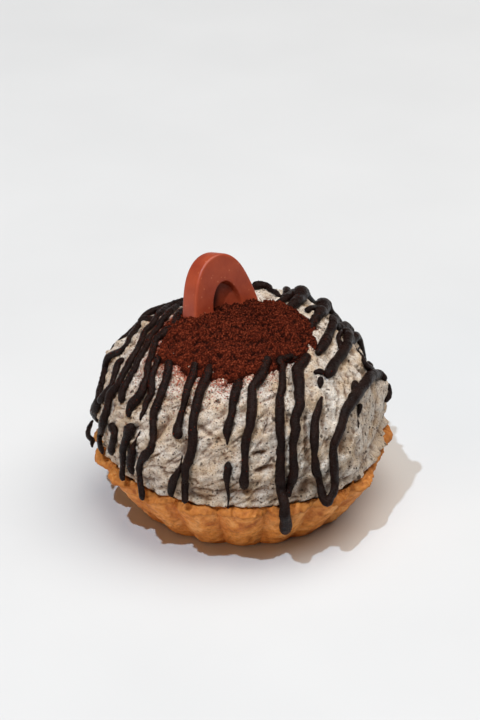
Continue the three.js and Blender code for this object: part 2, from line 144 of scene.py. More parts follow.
@dataclass(frozen=True)
class Pits:
    """Small round pits scattered over a surface: their depth, spacing and radius, in millimetres.

    Some of the places for a pit, the share called empty, have none.
    """

    depth: float
    spacing: float
    radius: float
    empty: float
    seed: float

    def over(self, points: np.ndarray) -> np.ndarray:
        """Depths of the pits at points in millimetres, and 0 away from them."""
        places = (points.reshape(-1, 3) / self.spacing + self.seed * 9.17).tolist()
        found = [noise.voronoi(place) for place in places]
        distance = self.spacing * np.array([distances[0] for distances, _ in found])
        number = np.array([noise.cell(nearest[0] * 7.7) for _, nearest in found]) % 1.0
        dips = (number > self.empty) * np.exp(-(distance / self.radius) ** 2)
        return self.depth * dips.reshape(points.shape[:-1])


def hollows(height: np.ndarray, reach: int, depth: float) -> np.ndarray:
    """How far each point of a closed grid lies below its surroundings.

    Args:
        height: rows by columns, in millimetres.
        reach: how many points away the surroundings go.
        depth: depth that counts as 1, in millimetres.

    Returns:
        Values of 0 to 1, in the shape of height.
    """
    width = 2 * reach + 1
    wide = np.pad(height, ((0, 0), (reach, reach)), mode="wrap")
    tall = np.pad(wide, ((reach, reach), (0, 0)), mode="edge")
    total = np.cumsum(np.cumsum(np.pad(tall, ((1, 0), (1, 0))), axis=0), axis=1)
    mean = (total[width:, width:] - total[:-width, width:] - total[width:, :-width]
            + total[:-width, :-width]) / width ** 2
    return np.clip((mean - height) / depth, 0, 1)


# Meshes


def polar(radius: np.ndarray | float, azimuth: np.ndarray, height: np.ndarray | float) -> np.ndarray:
    """Points at distances from the pie's axis, azimuths and heights, which fit together as arrays."""
    turn = np.radians(azimuth)
    return np.stack(np.broadcast_arrays(radius * np.cos(turn), radius * np.sin(turn), height), -1)


def unit(vectors: np.ndarray) -> np.ndarray:
    """Vectors of the same directions and length 1."""
    return vectors / np.maximum(np.linalg.norm(vectors, axis=-1, keepdims=True), 1e-9)


def grid_normals(points: np.ndarray) -> np.ndarray:
    """Outward directions of a grid of points that closes on itself along its second axis.

    Args:
        points: rows by columns by 3, with the columns turning towards +Y and the rows going up.

    Returns:
        Unit vectors in the same shape.
    """
    along = np.gradient(points, axis=0)
    around = np.roll(points, -1, axis=1) - np.roll(points, 1, axis=1)
    return unit(np.cross(around, along))


def grid_faces(rows: int, columns: int, first: int = 0) -> list[list[int]]:
    """Faces of a tube of rows and columns, with a fan to a middle point at each end.

    Args:
        rows: number of rings.
        columns: number of points in a ring.
        first: index of the tube's first point.

    Returns:
        Faces as point numbers. The two middle points follow the rings.
    """
    ring = np.arange(columns)
    after = (ring + 1) % columns
    low = first + columns * np.arange(rows)[:, None]
    high = low[1:]
    walls = np.stack([low[:-1] + ring, low[:-1] + after, high + after, high + ring], -1)
    middle = np.full(columns, first + rows * columns)
    start = np.stack([middle, low[0] + after, low[0] + ring], -1)
    end = np.stack([middle + 1, low[-1] + ring, low[-1] + after], -1)
    return [*walls.reshape(-1, 4).tolist(), *start.tolist(), *end.tolist()]


def add_object(name: str, data: bpy.types.ID) -> bpy.types.Object:
    """Puts a mesh, lamp or camera into the scene."""
    thing = bpy.data.objects.new(name, data)
    bpy.context.scene.collection.objects.link(thing)
    return thing


def make_piece(name: str, points: np.ndarray, faces: Sequence[Sequence[int]], finish: bpy.types.Material,
               node: str, marks: Mapping[str, np.ndarray] | None = None) -> bpy.types.Object:
    """Makes one shown piece of the pie.

    Args:
        name: the piece's name.
        points: n by 3, in millimetres.
        faces: faces as point numbers.
        finish: its material.
        node: the solid that it stands for.
        marks: values for each point that the material reads by name.

    Returns:
        The object, riding on the pie's one body.
    """
    mesh = bpy.data.meshes.new(name)
    mesh.from_pydata((points * MM).tolist(), [], faces)
    for mark, values in (marks or {}).items():
        layer = mesh.attributes.new(mark, "FLOAT", "POINT")
        layer.data.foreach_set("value", values.astype(np.float32).ravel())
    mesh.shade_smooth()
    mesh.materials.append(finish)
    mesh.update()
    piece = add_object(name, mesh)
    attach(piece, BODY)
    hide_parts(node)
    LOG.info("%s: %d faces, stands for %s", name, len(mesh.polygons), node)
    return piece


def make_shell(name: str, rings: np.ndarray, ends: Sequence[Sequence[float]], finish: bpy.types.Material,
               slot: Slot, node: str, marks: Mapping[str, np.ndarray],
               end_marks: tuple[float, float] = (0, 0)) -> bpy.types.Object:
    """Makes one shown piece from rings of points, closed by a middle point at each end.

    Args:
        name: the piece's name.
        rings: rows by columns by 3, in millimetres.
        ends: the two middle points.
        finish: its material.
        slot: not used.
        node: the solid that it stands for.
        marks: values for each point of the rings that the material reads by name.
        end_marks: every mark's values at the two middle points.

    Returns:
        The object.
    """
    values = {mark: np.append(grid, end_marks) for mark, grid in marks.items()}
    return make_piece(name, np.vstack([rings.reshape(-1, 3), ends]), grid_faces(*rings.shape[:2]), finish,
                      node, values)


def make_crumbs(name: str, centres: np.ndarray, sizes: np.ndarray, flatness: float, seed: int,
                finish: bpy.types.Material, node: str,
                marks: Mapping[str, np.ndarray] | None = None) -> bpy.types.Object:
    """Makes one shown piece of many small irregular crumbs of 20 faces.

    Args:
        name: the piece's name.
        centres: n by 3, in millimetres.
        sizes: n widths in millimetres.
        flatness: how much shorter one axis may be, from 0 to 1.
        seed: the crumbs' own draw.
        finish: their material.
        node: the solid that they stand for.
        marks: values for each crumb that the material reads by name.

    Returns:
        The object.
    """
    ball = bmesh.new()
    bmesh.ops.create_icosphere(ball, subdivisions=1, radius=0.5)
    corners = np.array([corner.co for corner in ball.verts])
    triangles = np.array([[corner.index for corner in face.verts] for face in ball.faces])
    ball.free()
    draw = np.random.default_rng(seed)
    count = len(centres)
    shape = corners[None] * (1 + 0.45 * (draw.random((count, len(corners), 1)) - 0.5))
    stretch = 1 - flatness * draw.random((count, 1, 3))
    turned, _ = np.linalg.qr(draw.normal(size=(count, 3, 3)))
    placed = np.einsum("nvi,nij->nvj", shape * stretch, turned) * sizes[:, None, None] + centres[:, None]
    faces = (triangles[None] + (np.arange(count) * len(corners))[:, None, None]).reshape(-1, 3)
    values = {mark: np.repeat(shares, len(corners)) for mark, shares in (marks or {}).items()}
    return make_piece(name, placed.reshape(-1, 3), faces.tolist(), finish, node, values)


# Finishes


def linear(colour: str) -> tuple[float, float, float, float]:
    """Linear colour of an sRGB hex value such as "#b8783f"."""
    parts = [int(colour[i:i + 2], 16) / 255 for i in (1, 3, 5)]
    return (*[p / 12.92 if p <= 0.04045 else ((p + 0.055) / 1.055) ** 2.4 for p in parts], 1.0)


def per_metre(size: float) -> float:
    """Pattern scale that gives features of this size in millimetres."""
    return 1 / (size * MM)


def add_node(tree: bpy.types.NodeTree, kind: str, inputs: Mapping[str | int, Any] | None = None,
             stops: Sequence[tuple[float, str]] = (), **settings: Any) -> bpy.types.Node:
    """Adds a node with its settings and links.

    Args:
        tree: the material's nodes.
        kind: Blender's name for the node, without ShaderNode before it.
        inputs: for each input, a value to set, a socket to link, or a node whose first socket to link.
        stops: places and colours of a colour ramp.
        settings: the node's own settings.

    Returns:
        The node.
    """
    node = tree.nodes.new("ShaderNode" + kind)
    for setting, value in settings.items():
        setattr(node, setting, value)
    for key, value in (inputs or {}).items():
        if isinstance(value, bpy.types.Node):
            value = value.outputs[0]
        if isinstance(value, bpy.types.NodeSocket):
            tree.links.new(value, node.inputs[key])
        else:
            node.inputs[key].default_value = value
    if stops:
        elements = node.color_ramp.elements
        for element, (place, colour) in zip(elements, (stops[0], stops[-1])):
            element.position = place
            element.color = linear(colour)
        for place, colour in stops[1:-1]:
            elements.new(place).color = linear(colour)
    return node


def new_material(name: str) -> tuple[bpy.types.Material, bpy.types.NodeTree, bpy.types.NodeSocket]:
    """An empty material, its nodes and the socket that gives places in metres."""
    material = bpy.data.materials.new(name)
    material.use_nodes = True
    tree = material.node_tree
    tree.nodes.clear()
    return material, tree, add_node(tree, "TexCoord").outputs["Object"]


@dataclass(frozen=True)
class Coat:
    """A thin coat of colour. As a value goes from start to end, it comes to hide most of what is below."""

    colour: str
    start: float = 0.0
    end: float = 1.0
    most: float = 1.0


def lay_coats(tree: bpy.types.NodeTree, colour: Any,
              coats: Sequence[tuple[Coat, Any]]) -> bpy.types.NodeSocket:
    """Lays thin coats of colour over a first one, each over those before it.

    Args:
        tree: the material's nodes.
        colour: node or socket of the first colour.
        coats: each coat, with the node or socket of the value that says where it lies.

    Returns:
        The socket of the mixed colour.
    """
    share, under, over, mixed = 0, 6, 7, 2  # the node's sockets for colours, which it only numbers
    for coat, value in coats:
        hidden = add_node(tree, "MapRange", {"Value": value, "From Min": coat.start, "From Max": coat.end,
                                             "To Max": coat.most})
        inputs = {share: hidden, under: colour, over: linear(coat.colour)}
        colour = add_node(tree, "Mix", inputs, data_type="RGBA").outputs[mixed]
    return colour


def finish_with(tree: bpy.types.NodeTree, inputs: Mapping[str | int, Any], bump: bpy.types.Node,
                depth: float) -> None:
    """Ends a material with its shader.

    Args:
        tree: the material's nodes.
        inputs: the shader's inputs.
        bump: height of the fine relief, from 0 to 1.
        depth: depth of that relief in millimetres.
    """
    relief = add_node(tree, "Bump", {"Height": bump, "Distance": depth * MM, "Strength": 1.0})
    shader = add_node(tree, "BsdfPrincipled", {**inputs, "Normal": relief})
    add_node(tree, "OutputMaterial", {"Surface": shader})


@dataclass(frozen=True)
class Pattern:
    """A noise pattern of a finish: the width of its features in millimetres, and how fine and rough it is."""

    size: float
    detail: float
    roughness: float = 0.5
    distortion: float = 0.0

    def over(self, places: Any) -> dict[str, Any]:
        """Inputs of the noise node that draws it over places in metres."""
        return {"Vector": places, "Scale": per_metre(self.size), "Detail": self.detail,
                "Roughness": self.roughness, "Distortion": self.distortion}


@dataclass(frozen=True)
class BakedShortcrust:
    """Sweet shortcrust, pressed in a fluted tin and baked till golden and browned.

    The tin leaves it smooth but dry, so it is matt, with fine flakes and darker toasted freckles. Its worn
    rim is sandier than the wall. Its creases and foot, and the hollows of its relief, are painted browner as
    painted shade.
    """

    deep: str = "#a9571b"
    middle: str = "#dc8e40"
    light: str = "#f1b26c"
    rim: Coat = Coat("#bd7633", most=0.85)
    freckles: Coat = Coat("#84400f", 0.50, 0.32, 0.62)
    light_flakes: Coat = Coat("#f1b26c", 0.54, 0.72, 0.6)
    # painted shade: browner in the flutes' creases and towards the foot, where shade falls
    creases: Coat = Coat("#a9571b")
    # painted shade: darker in the hollows of the relief, its cracks and pores among them
    cracks: Coat = Coat("#84400f", most=0.4)
    cloud: Pattern = Pattern(4.5, 5.0, 0.62)
    flake: Pattern = Pattern(2.2, 6.0, 0.7, 0.6)
    grain: Pattern = Pattern(0.6, 4.0, 0.65)
    grain_depth: float = 0.2
    stretch: float = 0.7
    roughness: float = 0.62

    def make(self) -> bpy.types.Material:
        """Builds the material."""
        material, tree, places = new_material("baked_shortcrust")
        cloud = add_node(tree, "TexNoise", self.cloud.over(places))
        wall = add_node(tree, "ValToRGB", {"Fac": cloud},
                        stops=[(0.30, self.deep), (0.5, self.middle), (0.72, self.light)])
        flat = add_node(tree, "Mapping", {"Vector": places, "Scale": (1.0, 1.0, self.stretch)})
        flake = add_node(tree, "TexNoise", self.flake.over(flat))
        pale, crease_and_foot_shade, crumb_tone_and_hollow_shade = (add_node(tree, "Attribute", attribute_name=mark).outputs["Fac"]
                              for mark in ("pale", "crease_and_foot_shade", "crumb_tone_and_hollow_shade"))
        # the crease, foot and hollow marks lay painted shade over the wall
        colour = lay_coats(tree, wall, [(self.rim, pale), (self.freckles, flake), (self.light_flakes, flake),
                                        (self.creases, crease_and_foot_shade), (self.cracks, crumb_tone_and_hollow_shade)])
        grain = add_node(tree, "TexNoise", self.grain.over(flat))
        finish_with(tree, {"Base Color": colour, "Roughness": self.roughness, "IOR": 1.45,
                           "Specular IOR Level": 0.35}, grain, self.grain_depth)
        return material


@dataclass(frozen=True)
class SpeckledCream:
    """Whipped cream with dark biscuit crumbs folded in, spread with a spatula.

    The fat in it scatters light, so its shadows are soft. Crumbs finer than a pinhead show as dark specks
    and grey clouds, and cocoa has fallen on it near the crown.
    """

    light: str = "#dcd6cd"
    shade: str = "#c6b299"
    clouds: Coat = Coat("#65472c", 0.53, 0.72, 0.55)
    mottles: Coat = Coat("#865c34", 0.47, 0.68, 0.62)
    # painted shade: brown laid in the cream's hollows and folds, where shade falls
    hollows: Coat = Coat("#5a3414", most=0.8)
    crumbs: Coat = Coat("#38271a", 0.0, 0.12, 0.85)
    stains: Coat = Coat("#9a3a18", 0.75, 0.79, 0.85)
    patch: Pattern = Pattern(5.0, 4.0)
    cloud: Pattern = Pattern(2.6, 6.0, 0.6, 0.8)
    grit: Pattern = Pattern(0.45, 3.0, 0.7)
    crumb_spacings: tuple[float, ...] = (0.45, 0.8, 1.3, 2.1)
    crumb_reach: float = 0.36
    stain: Pattern = Pattern(0.55, 2.0, 0.7)
    stain_by_dust: float = 0.34
    pore: Pattern = Pattern(0.5, 5.0, 0.6)
    pore_depth: float = 0.42
    roughness: float = 0.55

    def make(self) -> bpy.types.Material:
        """Builds the material."""
        material, tree, places = new_material("speckled_cream")
        patch = add_node(tree, "TexNoise", self.patch.over(places))
        base = add_node(tree, "ValToRGB", {"Fac": patch}, stops=[(0.36, self.shade), (0.62, self.light)])
        cloud = add_node(tree, "TexNoise", self.cloud.over(places))
        grit = add_node(tree, "TexNoise", self.grit.over(places))
        hollow, dust = (add_node(tree, "Attribute", attribute_name=mark).outputs["Fac"]
                        for mark in ("hollow", "dust"))
        stain = add_node(tree, "TexNoise", self.stain.over(places))
        stained = add_node(tree, "Math", {0: dust, 1: self.stain_by_dust, 2: stain}, operation="MULTIPLY_ADD")
        crumbs = [(self.crumbs, self._near_crumbs(tree, places, spacing)) for spacing in self.crumb_spacings]
        colour = lay_coats(tree, base, [(self.clouds, cloud), (self.mottles, grit), (self.hollows, hollow),
                                        *crumbs, (self.stains, stained)])
        pore = add_node(tree, "TexNoise", self.pore.over(places))
        finish_with(tree, {"Base Color": colour, "Roughness": self.roughness, "IOR": 1.45,
                           "Specular IOR Level": 0.4, "Subsurface Weight": 0.12,
                           "Subsurface Radius": (1.0, 0.8, 0.6), "Subsurface Scale": 1.2 * MM},
                    pore, self.pore_depth)
        return material

    def _near_crumbs(self, tree: bpy.types.NodeTree, places: bpy.types.NodeSocket,
                     spacing: float) -> bpy.types.Node:
        """How near each place is to the crumbs of one size.

        Args:
            tree: the material's nodes.
            places: places in metres.
            spacing: distance between crumbs in millimetres.

        Returns:
            Node whose value is above 0 inside the crumbs.
        """
        ragged = add_node(tree, "TexNoise", Pattern(0.5 * spacing, 2.0).over(places))
        shifted = add_node(tree, "VectorMath", {0: ragged.outputs["Color"], 1: (0.5 * spacing * MM,) * 3,
                                                2: places}, operation="MULTIPLY_ADD")
        spot = add_node(tree, "TexVoronoi", {"Vector": shifted, "Scale": per_metre(spacing)})
        number = add_node(tree, "SeparateColor", {0: spot.outputs["Color"]})
        reach = add_node(tree, "MapRange", {"Value": number, "From Min": 0.45, "To Max": self.crumb_reach})
        return add_node(tree, "Math", {0: reach, 1: spot}, operation="SUBTRACT")


@dataclass(frozen=True)
class PipedChocolate:
    """Dark chocolate, piped warm and left to set untempered.

    It sets satin with a faintly grainy skin, so highlights are broken into small glints.
    """

    body: str = "#140806"
    bloom: str = "#21100b"
    patch: Pattern = Pattern(3.0, 5.0)
    skin: Pattern = Pattern(0.5, 4.0, 0.6)
    skin_depth: float = 0.4
    roughness: tuple[float, float] = (0.2, 0.44)

    def make(self) -> bpy.types.Material:
        """Builds the material."""
        material, tree, places = new_material("piped_dark_chocolate")
        patch = add_node(tree, "TexNoise", self.patch.over(places))
        colour = add_node(tree, "ValToRGB", {"Fac": patch}, stops=[(0.4, self.body), (0.7, self.bloom)])
        skin = add_node(tree, "TexNoise", self.skin.over(places))
        low, high = self.roughness
        gloss = add_node(tree, "MapRange", {"Value": skin, "From Min": 0.35, "From Max": 0.65, "To Min": low,
                                            "To Max": high})
        finish_with(tree, {"Base Color": colour, "Roughness": gloss, "IOR": 1.5,
                           "Specular IOR Level": 0.11}, skin, self.skin_depth)
        return material


@dataclass(frozen=True)
class CocoaPowder:
    """Cocoa sieved on in a heap. It clumps, is quite dull, and every clump shades its neighbour."""

    name: str = "cocoa_powder"
    dark: str = "#1e0601"
    middle: str = "#501a0c"
    light: str = "#98482e"
    # painted shade: near black laid in the heap's dips and on clumps that lie low
    gaps: Coat = Coat("#0e0201", most=0.8)
    clump: Pattern = Pattern(0.5, 5.0, 0.6)
    grain: Pattern = Pattern(0.22, 3.0, 0.7)
    grain_depth: float = 0.26

    def make(self) -> bpy.types.Material:
        """Builds the material."""
        material, tree, places = new_material(self.name)
        clump = add_node(tree, "TexNoise", self.clump.over(places))
        base = add_node(tree, "ValToRGB", {"Fac": clump},
                        stops=[(0.3, self.dark), (0.5, self.middle), (0.74, self.light)])
        hollow = add_node(tree, "Attribute", attribute_name="hollow").outputs["Fac"]
        colour = lay_coats(tree, base, [(self.gaps, hollow)])
        grain = add_node(tree, "TexNoise", self.grain.over(places))
        finish_with(tree, {"Base Color": colour, "Roughness": 0.95, "IOR": 1.45, "Specular IOR Level": 0.1},
                    grain, self.grain_depth)
        return material


@dataclass(frozen=True)
class MouldedChocolate:
    """Milk chocolate cast in a smooth mould. Its skin is satin, with faint bloom and pinholes."""

    body: str = "#a5472a"
    deep: str = "#8e3620"
    bloom: Coat = Coat("#d38762", 0.16, 0.06, 0.45)
    shaded: Coat = Coat("#3c110a")
    patch: Pattern = Pattern(7.0, 6.0, 0.6)
    speck: float = 1.8
    skin: Pattern = Pattern(0.8, 4.0, 0.55)
    skin_depth: float = 0.05
    roughness: float = 0.42

    def make(self) -> bpy.types.Material:
        """Builds the material."""
        material, tree, places = new_material("moulded_milk_chocolate")
        patch = add_node(tree, "TexNoise", self.patch.over(places))
        base = add_node(tree, "ValToRGB", {"Fac": patch}, stops=[(0.3, self.deep), (0.62, self.body)])
        spot = add_node(tree, "TexVoronoi", {"Vector": places, "Scale": per_metre(self.speck)})
        hollow = add_node(tree, "Attribute", attribute_name="hollow").outputs["Fac"]
        colour = lay_coats(tree, base, [(self.bloom, spot), (self.shaded, hollow)])
        skin = add_node(tree, "TexNoise", self.skin.over(places))
        finish_with(tree, {"Base Color": colour, "Roughness": self.roughness, "IOR": 1.5,
                           "Specular IOR Level": 0.45, "Subsurface Weight": 0.08,
                           "Subsurface Radius": (1.0, 0.4, 0.25), "Subsurface Scale": 1.0 * MM},
                    skin, self.skin_depth)
        return material


@dataclass(frozen=True)
class BiscuitCrumb:
    """Crushed dark cocoa biscuit: nearly black, dry and dull."""

    dark: str = "#211c19"
    light: str = "#443a32"
    grain: Pattern = Pattern(0.8, 3.0)
    grain_depth: float = 0.1

    def make(self) -> bpy.types.Material:
        """Builds the material."""
        material, tree, places = new_material("biscuit_crumb")
        grain = add_node(tree, "TexNoise", self.grain.over(places))
        colour = add_node(tree, "ValToRGB", {"Fac": grain}, stops=[(0.4, self.dark), (0.65, self.light)])
        finish_with(tree, {"Base Color": colour, "Roughness": 0.8, "IOR": 1.45, "Specular IOR Level": 0.3},
                    grain, self.grain_depth)
        return material


@dataclass(frozen=True)
class PaleTable:
    """Smooth painted board, nearly white, with the faintest unevenness."""

    colour: str = "#d0d3d6"
    shade: str = "#cccfd2"
    clouds_per_metre: float = 12.0
    cloud_depth: float = 0.01

    def make(self) -> bpy.types.Material:
        """Builds the material."""
        material, tree, places = new_material("pale_table")
        cloud = add_node(tree, "TexNoise", {"Vector": places, "Scale": self.clouds_per_metre, "Detail": 3.0})
        colour = add_node(tree, "ValToRGB", {"Fac": cloud}, stops=[(0.3, self.shade), (0.7, self.colour)])
        finish_with(tree, {"Base Color": colour, "Roughness": 0.7, "Specular IOR Level": 0.2}, cloud,
                    self.cloud_depth)
        return material


# Pastry case


@dataclass
class PastryCase:
    """Fluted pastry case."""

    height: float = 18.2
    base_radius: float = 29.0
    rim_radius: float = 42.3
    flutes: int = 19
    first_crease: float = 13.6
    rim_flute: float = 2.7
    base_flute: float = 1.3
    flute_uneven: float = 0.15
    flute_roundness: float = 0.95
    belly: float = 0.7
    inner_rim: float = 38.2
    inner_floor: float = 25.4
    inner_flute: float = 0.3
    floor_thickness: float = 3.4
    lip_round: float = 2.2
    lip_slope: float = 1.5
    lip_wave: tuple[float, int, float] = (0.3, 3, 40)
    lip_from: float = 0.8
    base_rings: tuple[float, ...] = (0.45, 0.75)
    base_edge: tuple[float, float, float] = (0.35, 0.01, 0.97)
    wall_from: float = 0.05
    swells: Layer = Layer(0.42, 5.0, 4, 1)
    bumps: Layer = Layer(0.13, 1.4, 3, 2)
    lip_lumps: Layer = Layer(0.5, 3.0, 4, 6)
    lip_grain: Layer = Layer(0.26, 0.9, 2, 7)
    lip_waves: Layer = Layer(0.35, 6.0, 4, 8)
    cracks: Lines = Lines(0.14, 7.0, 0.06, 3)
    pores: Pits = Pits(0.3, 2.2, 0.4, 0.72, 5)
    flake_height: float = 0.135
    lip_flake_height: float = 0.495
    worn_azimuth: float = 344.0
    worn_spread: float = 13.0
    worn_radius: float = 4.0
    worn_height: float = 0.8
    worn_flatten: float = 0.8
    worn_inside: float = 1.0
    columns_per_flute: int = 46
    wall_rows: int = 48
    lip_rows: int = 18
    inner_rows: int = 14

    def worn(self, azimuth: np.ndarray) -> np.ndarray:
        """How worn the rim is, from 0 to 1."""
        return np.exp(-(turn_between(azimuth, self.worn_azimuth) / self.worn_spread) ** 2)

    def flute_wave(self, azimuth: np.ndarray) -> np.ndarray:
        """0 in a crease, 1 on the round back of a flute."""
        phase = (azimuth - self.first_crease) * (self.flutes / 360)
        return np.abs(np.sin(np.pi * phase)) ** self.flute_roundness

    def flute_size(self, azimuth: np.ndarray) -> np.ndarray:
        """How deep each flute is beside the average."""
        number = np.floor((azimuth - self.first_crease) * (self.flutes / 360) + self.flutes)
        sizes = np.array([1 + self.flute_uneven * (2 * scatter(n) - 1) for n in range(self.flutes)])
        return sizes[number.astype(int) % self.flutes]

    def radius(self, azimuth: np.ndarray, level: np.ndarray | float) -> np.ndarray:
        """Radius of the outside at a level from 0 at the base to 1 at the rim."""
        full = (self.base_flute + (self.rim_flute - self.base_flute) * level) * self.flute_size(azimuth)
        depth = full * (1 - self.worn_flatten * self.worn(azimuth))
        tips = self.base_radius + (self.rim_radius - self.base_radius) * level
        bow = self.belly * np.sin(np.pi * np.clip(level, 0, 1))
        lost = self.worn_radius * level * level * self.worn(azimuth)
        return tips + bow - depth * (1 - self.flute_wave(azimuth)) - lost

    def inner_radius(self, azimuth: np.ndarray, level: np.ndarray | float) -> np.ndarray:
        """Radius of the inside at a level."""
        plain = self.inner_floor + (self.inner_rim - self.inner_floor) * level
        flute = self.inner_flute * (1 - self.flute_wave(azimuth))
        return plain - level * (flute + self.worn_inside * self.worn(azimuth))

    def rows(self) -> np.ndarray:
        """Rows of the section, from the middle of the base round to the inner floor.

        Returns:
            Columns of height, level, place across the wall (1 outside, 0 inside) and share of lip.
        """
        rows = [(0.0, 0.0, share, 0.0) for share in self.base_rings]
        rows.append((*self.base_edge, 0.0))
        top = 1 - self.lip_round / self.height
        rows += [(level * self.height, level, 1.0, ramp(self.lip_from, top, level))
                 for level in np.linspace(self.wall_from, top, self.wall_rows)]
        for turn in np.linspace(0, math.pi, self.lip_rows)[1:]:
            rise = self.lip_round * math.sin(turn) ** 0.8
            across = (0.5 + 0.5 * math.cos(turn)) ** self.lip_slope
            rows.append((self.height - self.lip_round + rise, 1.0, across, 1.0))
        deep = self.height - self.lip_round - self.floor_thickness
        for level in np.linspace(1, 0, self.inner_rows)[1:]:
            rows.append((self.floor_thickness + deep * level, level, 0.0, max(0.0, 4 * level - 3)))
        return np.array(rows)

    def relief(self, points: np.ndarray, lip: np.ndarray) -> np.ndarray:
        """Height of the baked surface over the pressed form.

        Args:
            points: places in millimetres.
            lip: share of lip, from 0 to 1, for each row.

        Returns:
            Heights in millimetres.
        """
        height = self.swells.over(points) + self.bumps.over(points)
        cracked = ramp(0.0, 0.5, fractal(points, 11.0, 2, 4))
        height -= self.cracks.over(points) * cracked
        height -= self.pores.over(points)
        flakes = 0.18 - np.abs(fractal(points, 2.0, 3, 9))
        height += (self.flake_height + (self.lip_flake_height - self.flake_height) * lip) * flakes
        return height + lip * (self.lip_lumps.over(points) + self.lip_grain.over(points))

    def shades(self, points: np.ndarray, azimuth: np.ndarray, rows: np.ndarray,
               relief: np.ndarray) -> dict[str, np.ndarray]:
        """Where the bake is paler at the rim, and painted shade: browner in the creases and at the foot, and
        darker in the relief's hollows and cracks.

        Args:
            points: places in millimetres.
            azimuth: one for each column.
            rows: the section's rows.
            relief: height of the baked surface over the pressed form.

        Returns:
            Values of 0 to 1 by name.
        """
        level, part, lip = (rows[:, i, None] for i in (1, 2, 3))
        pale = ramp(0.75, 1.0, level) * (0.45 + 0.55 * part) + 0.35 * lip
        # painted shade: browner in the creases and towards the foot, made uneven at random
        valley = ramp(0.75, 0.0, self.flute_wave(azimuth))
        crease_and_foot_shade = (0.55 * valley + 0.45 * ramp(0.35, 0.0, level)) * (1 - lip)
        uneven = 0.6 + 0.8 * fractal(points, 3.5, 3, 17)
        # this mark is painted shade, darker where the relief dips below its surroundings
        values = {"pale": pale + 0 * azimuth, "crumb_tone_and_hollow_shade": hollows(relief, 3, 0.3), "crease_and_foot_shade": crease_and_foot_shade * uneven}
        return {name: np.clip(value, 0, 1) for name, value in values.items()}

    def build(self, finish: bpy.types.Material) -> bpy.types.Object:
        """Builds the case."""
        rows = self.rows()
        height, level, part, lip = (rows[:, i, None] for i in range(4))
        count = self.flutes * self.columns_per_flute
        azimuth = self.first_crease + np.arange(count)[None] * 360 / count
        inside = self.inner_radius(azimuth, level)
        radius = inside + (self.radius(azimuth, level) - inside) * part
        wave, times, phase = self.lip_wave
        uneven = wave * np.sin(np.radians(azimuth * times + phase)) - self.worn_height * self.worn(azimuth)
        points = polar(radius, azimuth, height + lip * uneven)
        relief = self.relief(points, lip)
        flat_rows = len(self.base_rings)
        relief[:flat_rows + 1] = 0
        points += grid_normals(points) * relief[..., None]
        points[..., 2] += lip * self.lip_waves.over(points * (1, 1, 0))
        points[:flat_rows, :, 2] = 0
        return make_shell("pastry_case", points, [(0, 0, 0), (0, 0, self.floor_thickness)], finish,
                          Slot.PASTRY, "crust", self.shades(points, azimuth, rows, relief))


@dataclass
class PastryCrumbs:
    """Crumbs that broke off the pastry and lie on its rim."""

    case: PastryCase
    count: int = 900
    smallest: float = 0.25
    spread: float = 1.0
    seed: int = 11

    def build(self, finish: bpy.types.Material) -> bpy.types.Object:
        """Builds the crumbs."""
        draw = np.random.default_rng(self.seed)
        case = self.case
        azimuth = draw.uniform(0, 360, self.count)
        across = draw.random(self.count) ** 1.6
        inner, outer = case.inner_radius(azimuth, 1.0), case.radius(azimuth, 1.0)
        radius = inner - 0.4 + (outer - inner) * 0.9 * across
        sizes = self.smallest + self.spread * draw.random(self.count) ** 3
        height = case.height + 0.1 - 1.3 * across ** 2 - case.worn_height * case.worn(azimuth)
        # on the crumbs this mark is darker tone at random; on the case it is painted shade
        marks = {"pale": draw.random(self.count), "crumb_tone_and_hollow_shade": draw.random(self.count) ** 3}
        return make_crumbs("pastry_crumbs", polar(radius, azimuth, height), sizes, 0.5, self.seed + 1,
                           finish, "crust", marks)


# Whipped cream


@dataclass(frozen=True)
class Mark:
    """A short slot or hollow that the spatula left."""

    azimuth: float
    elevation: float
    length: float
    width: float
    depth: float
    slope: float = 0.0


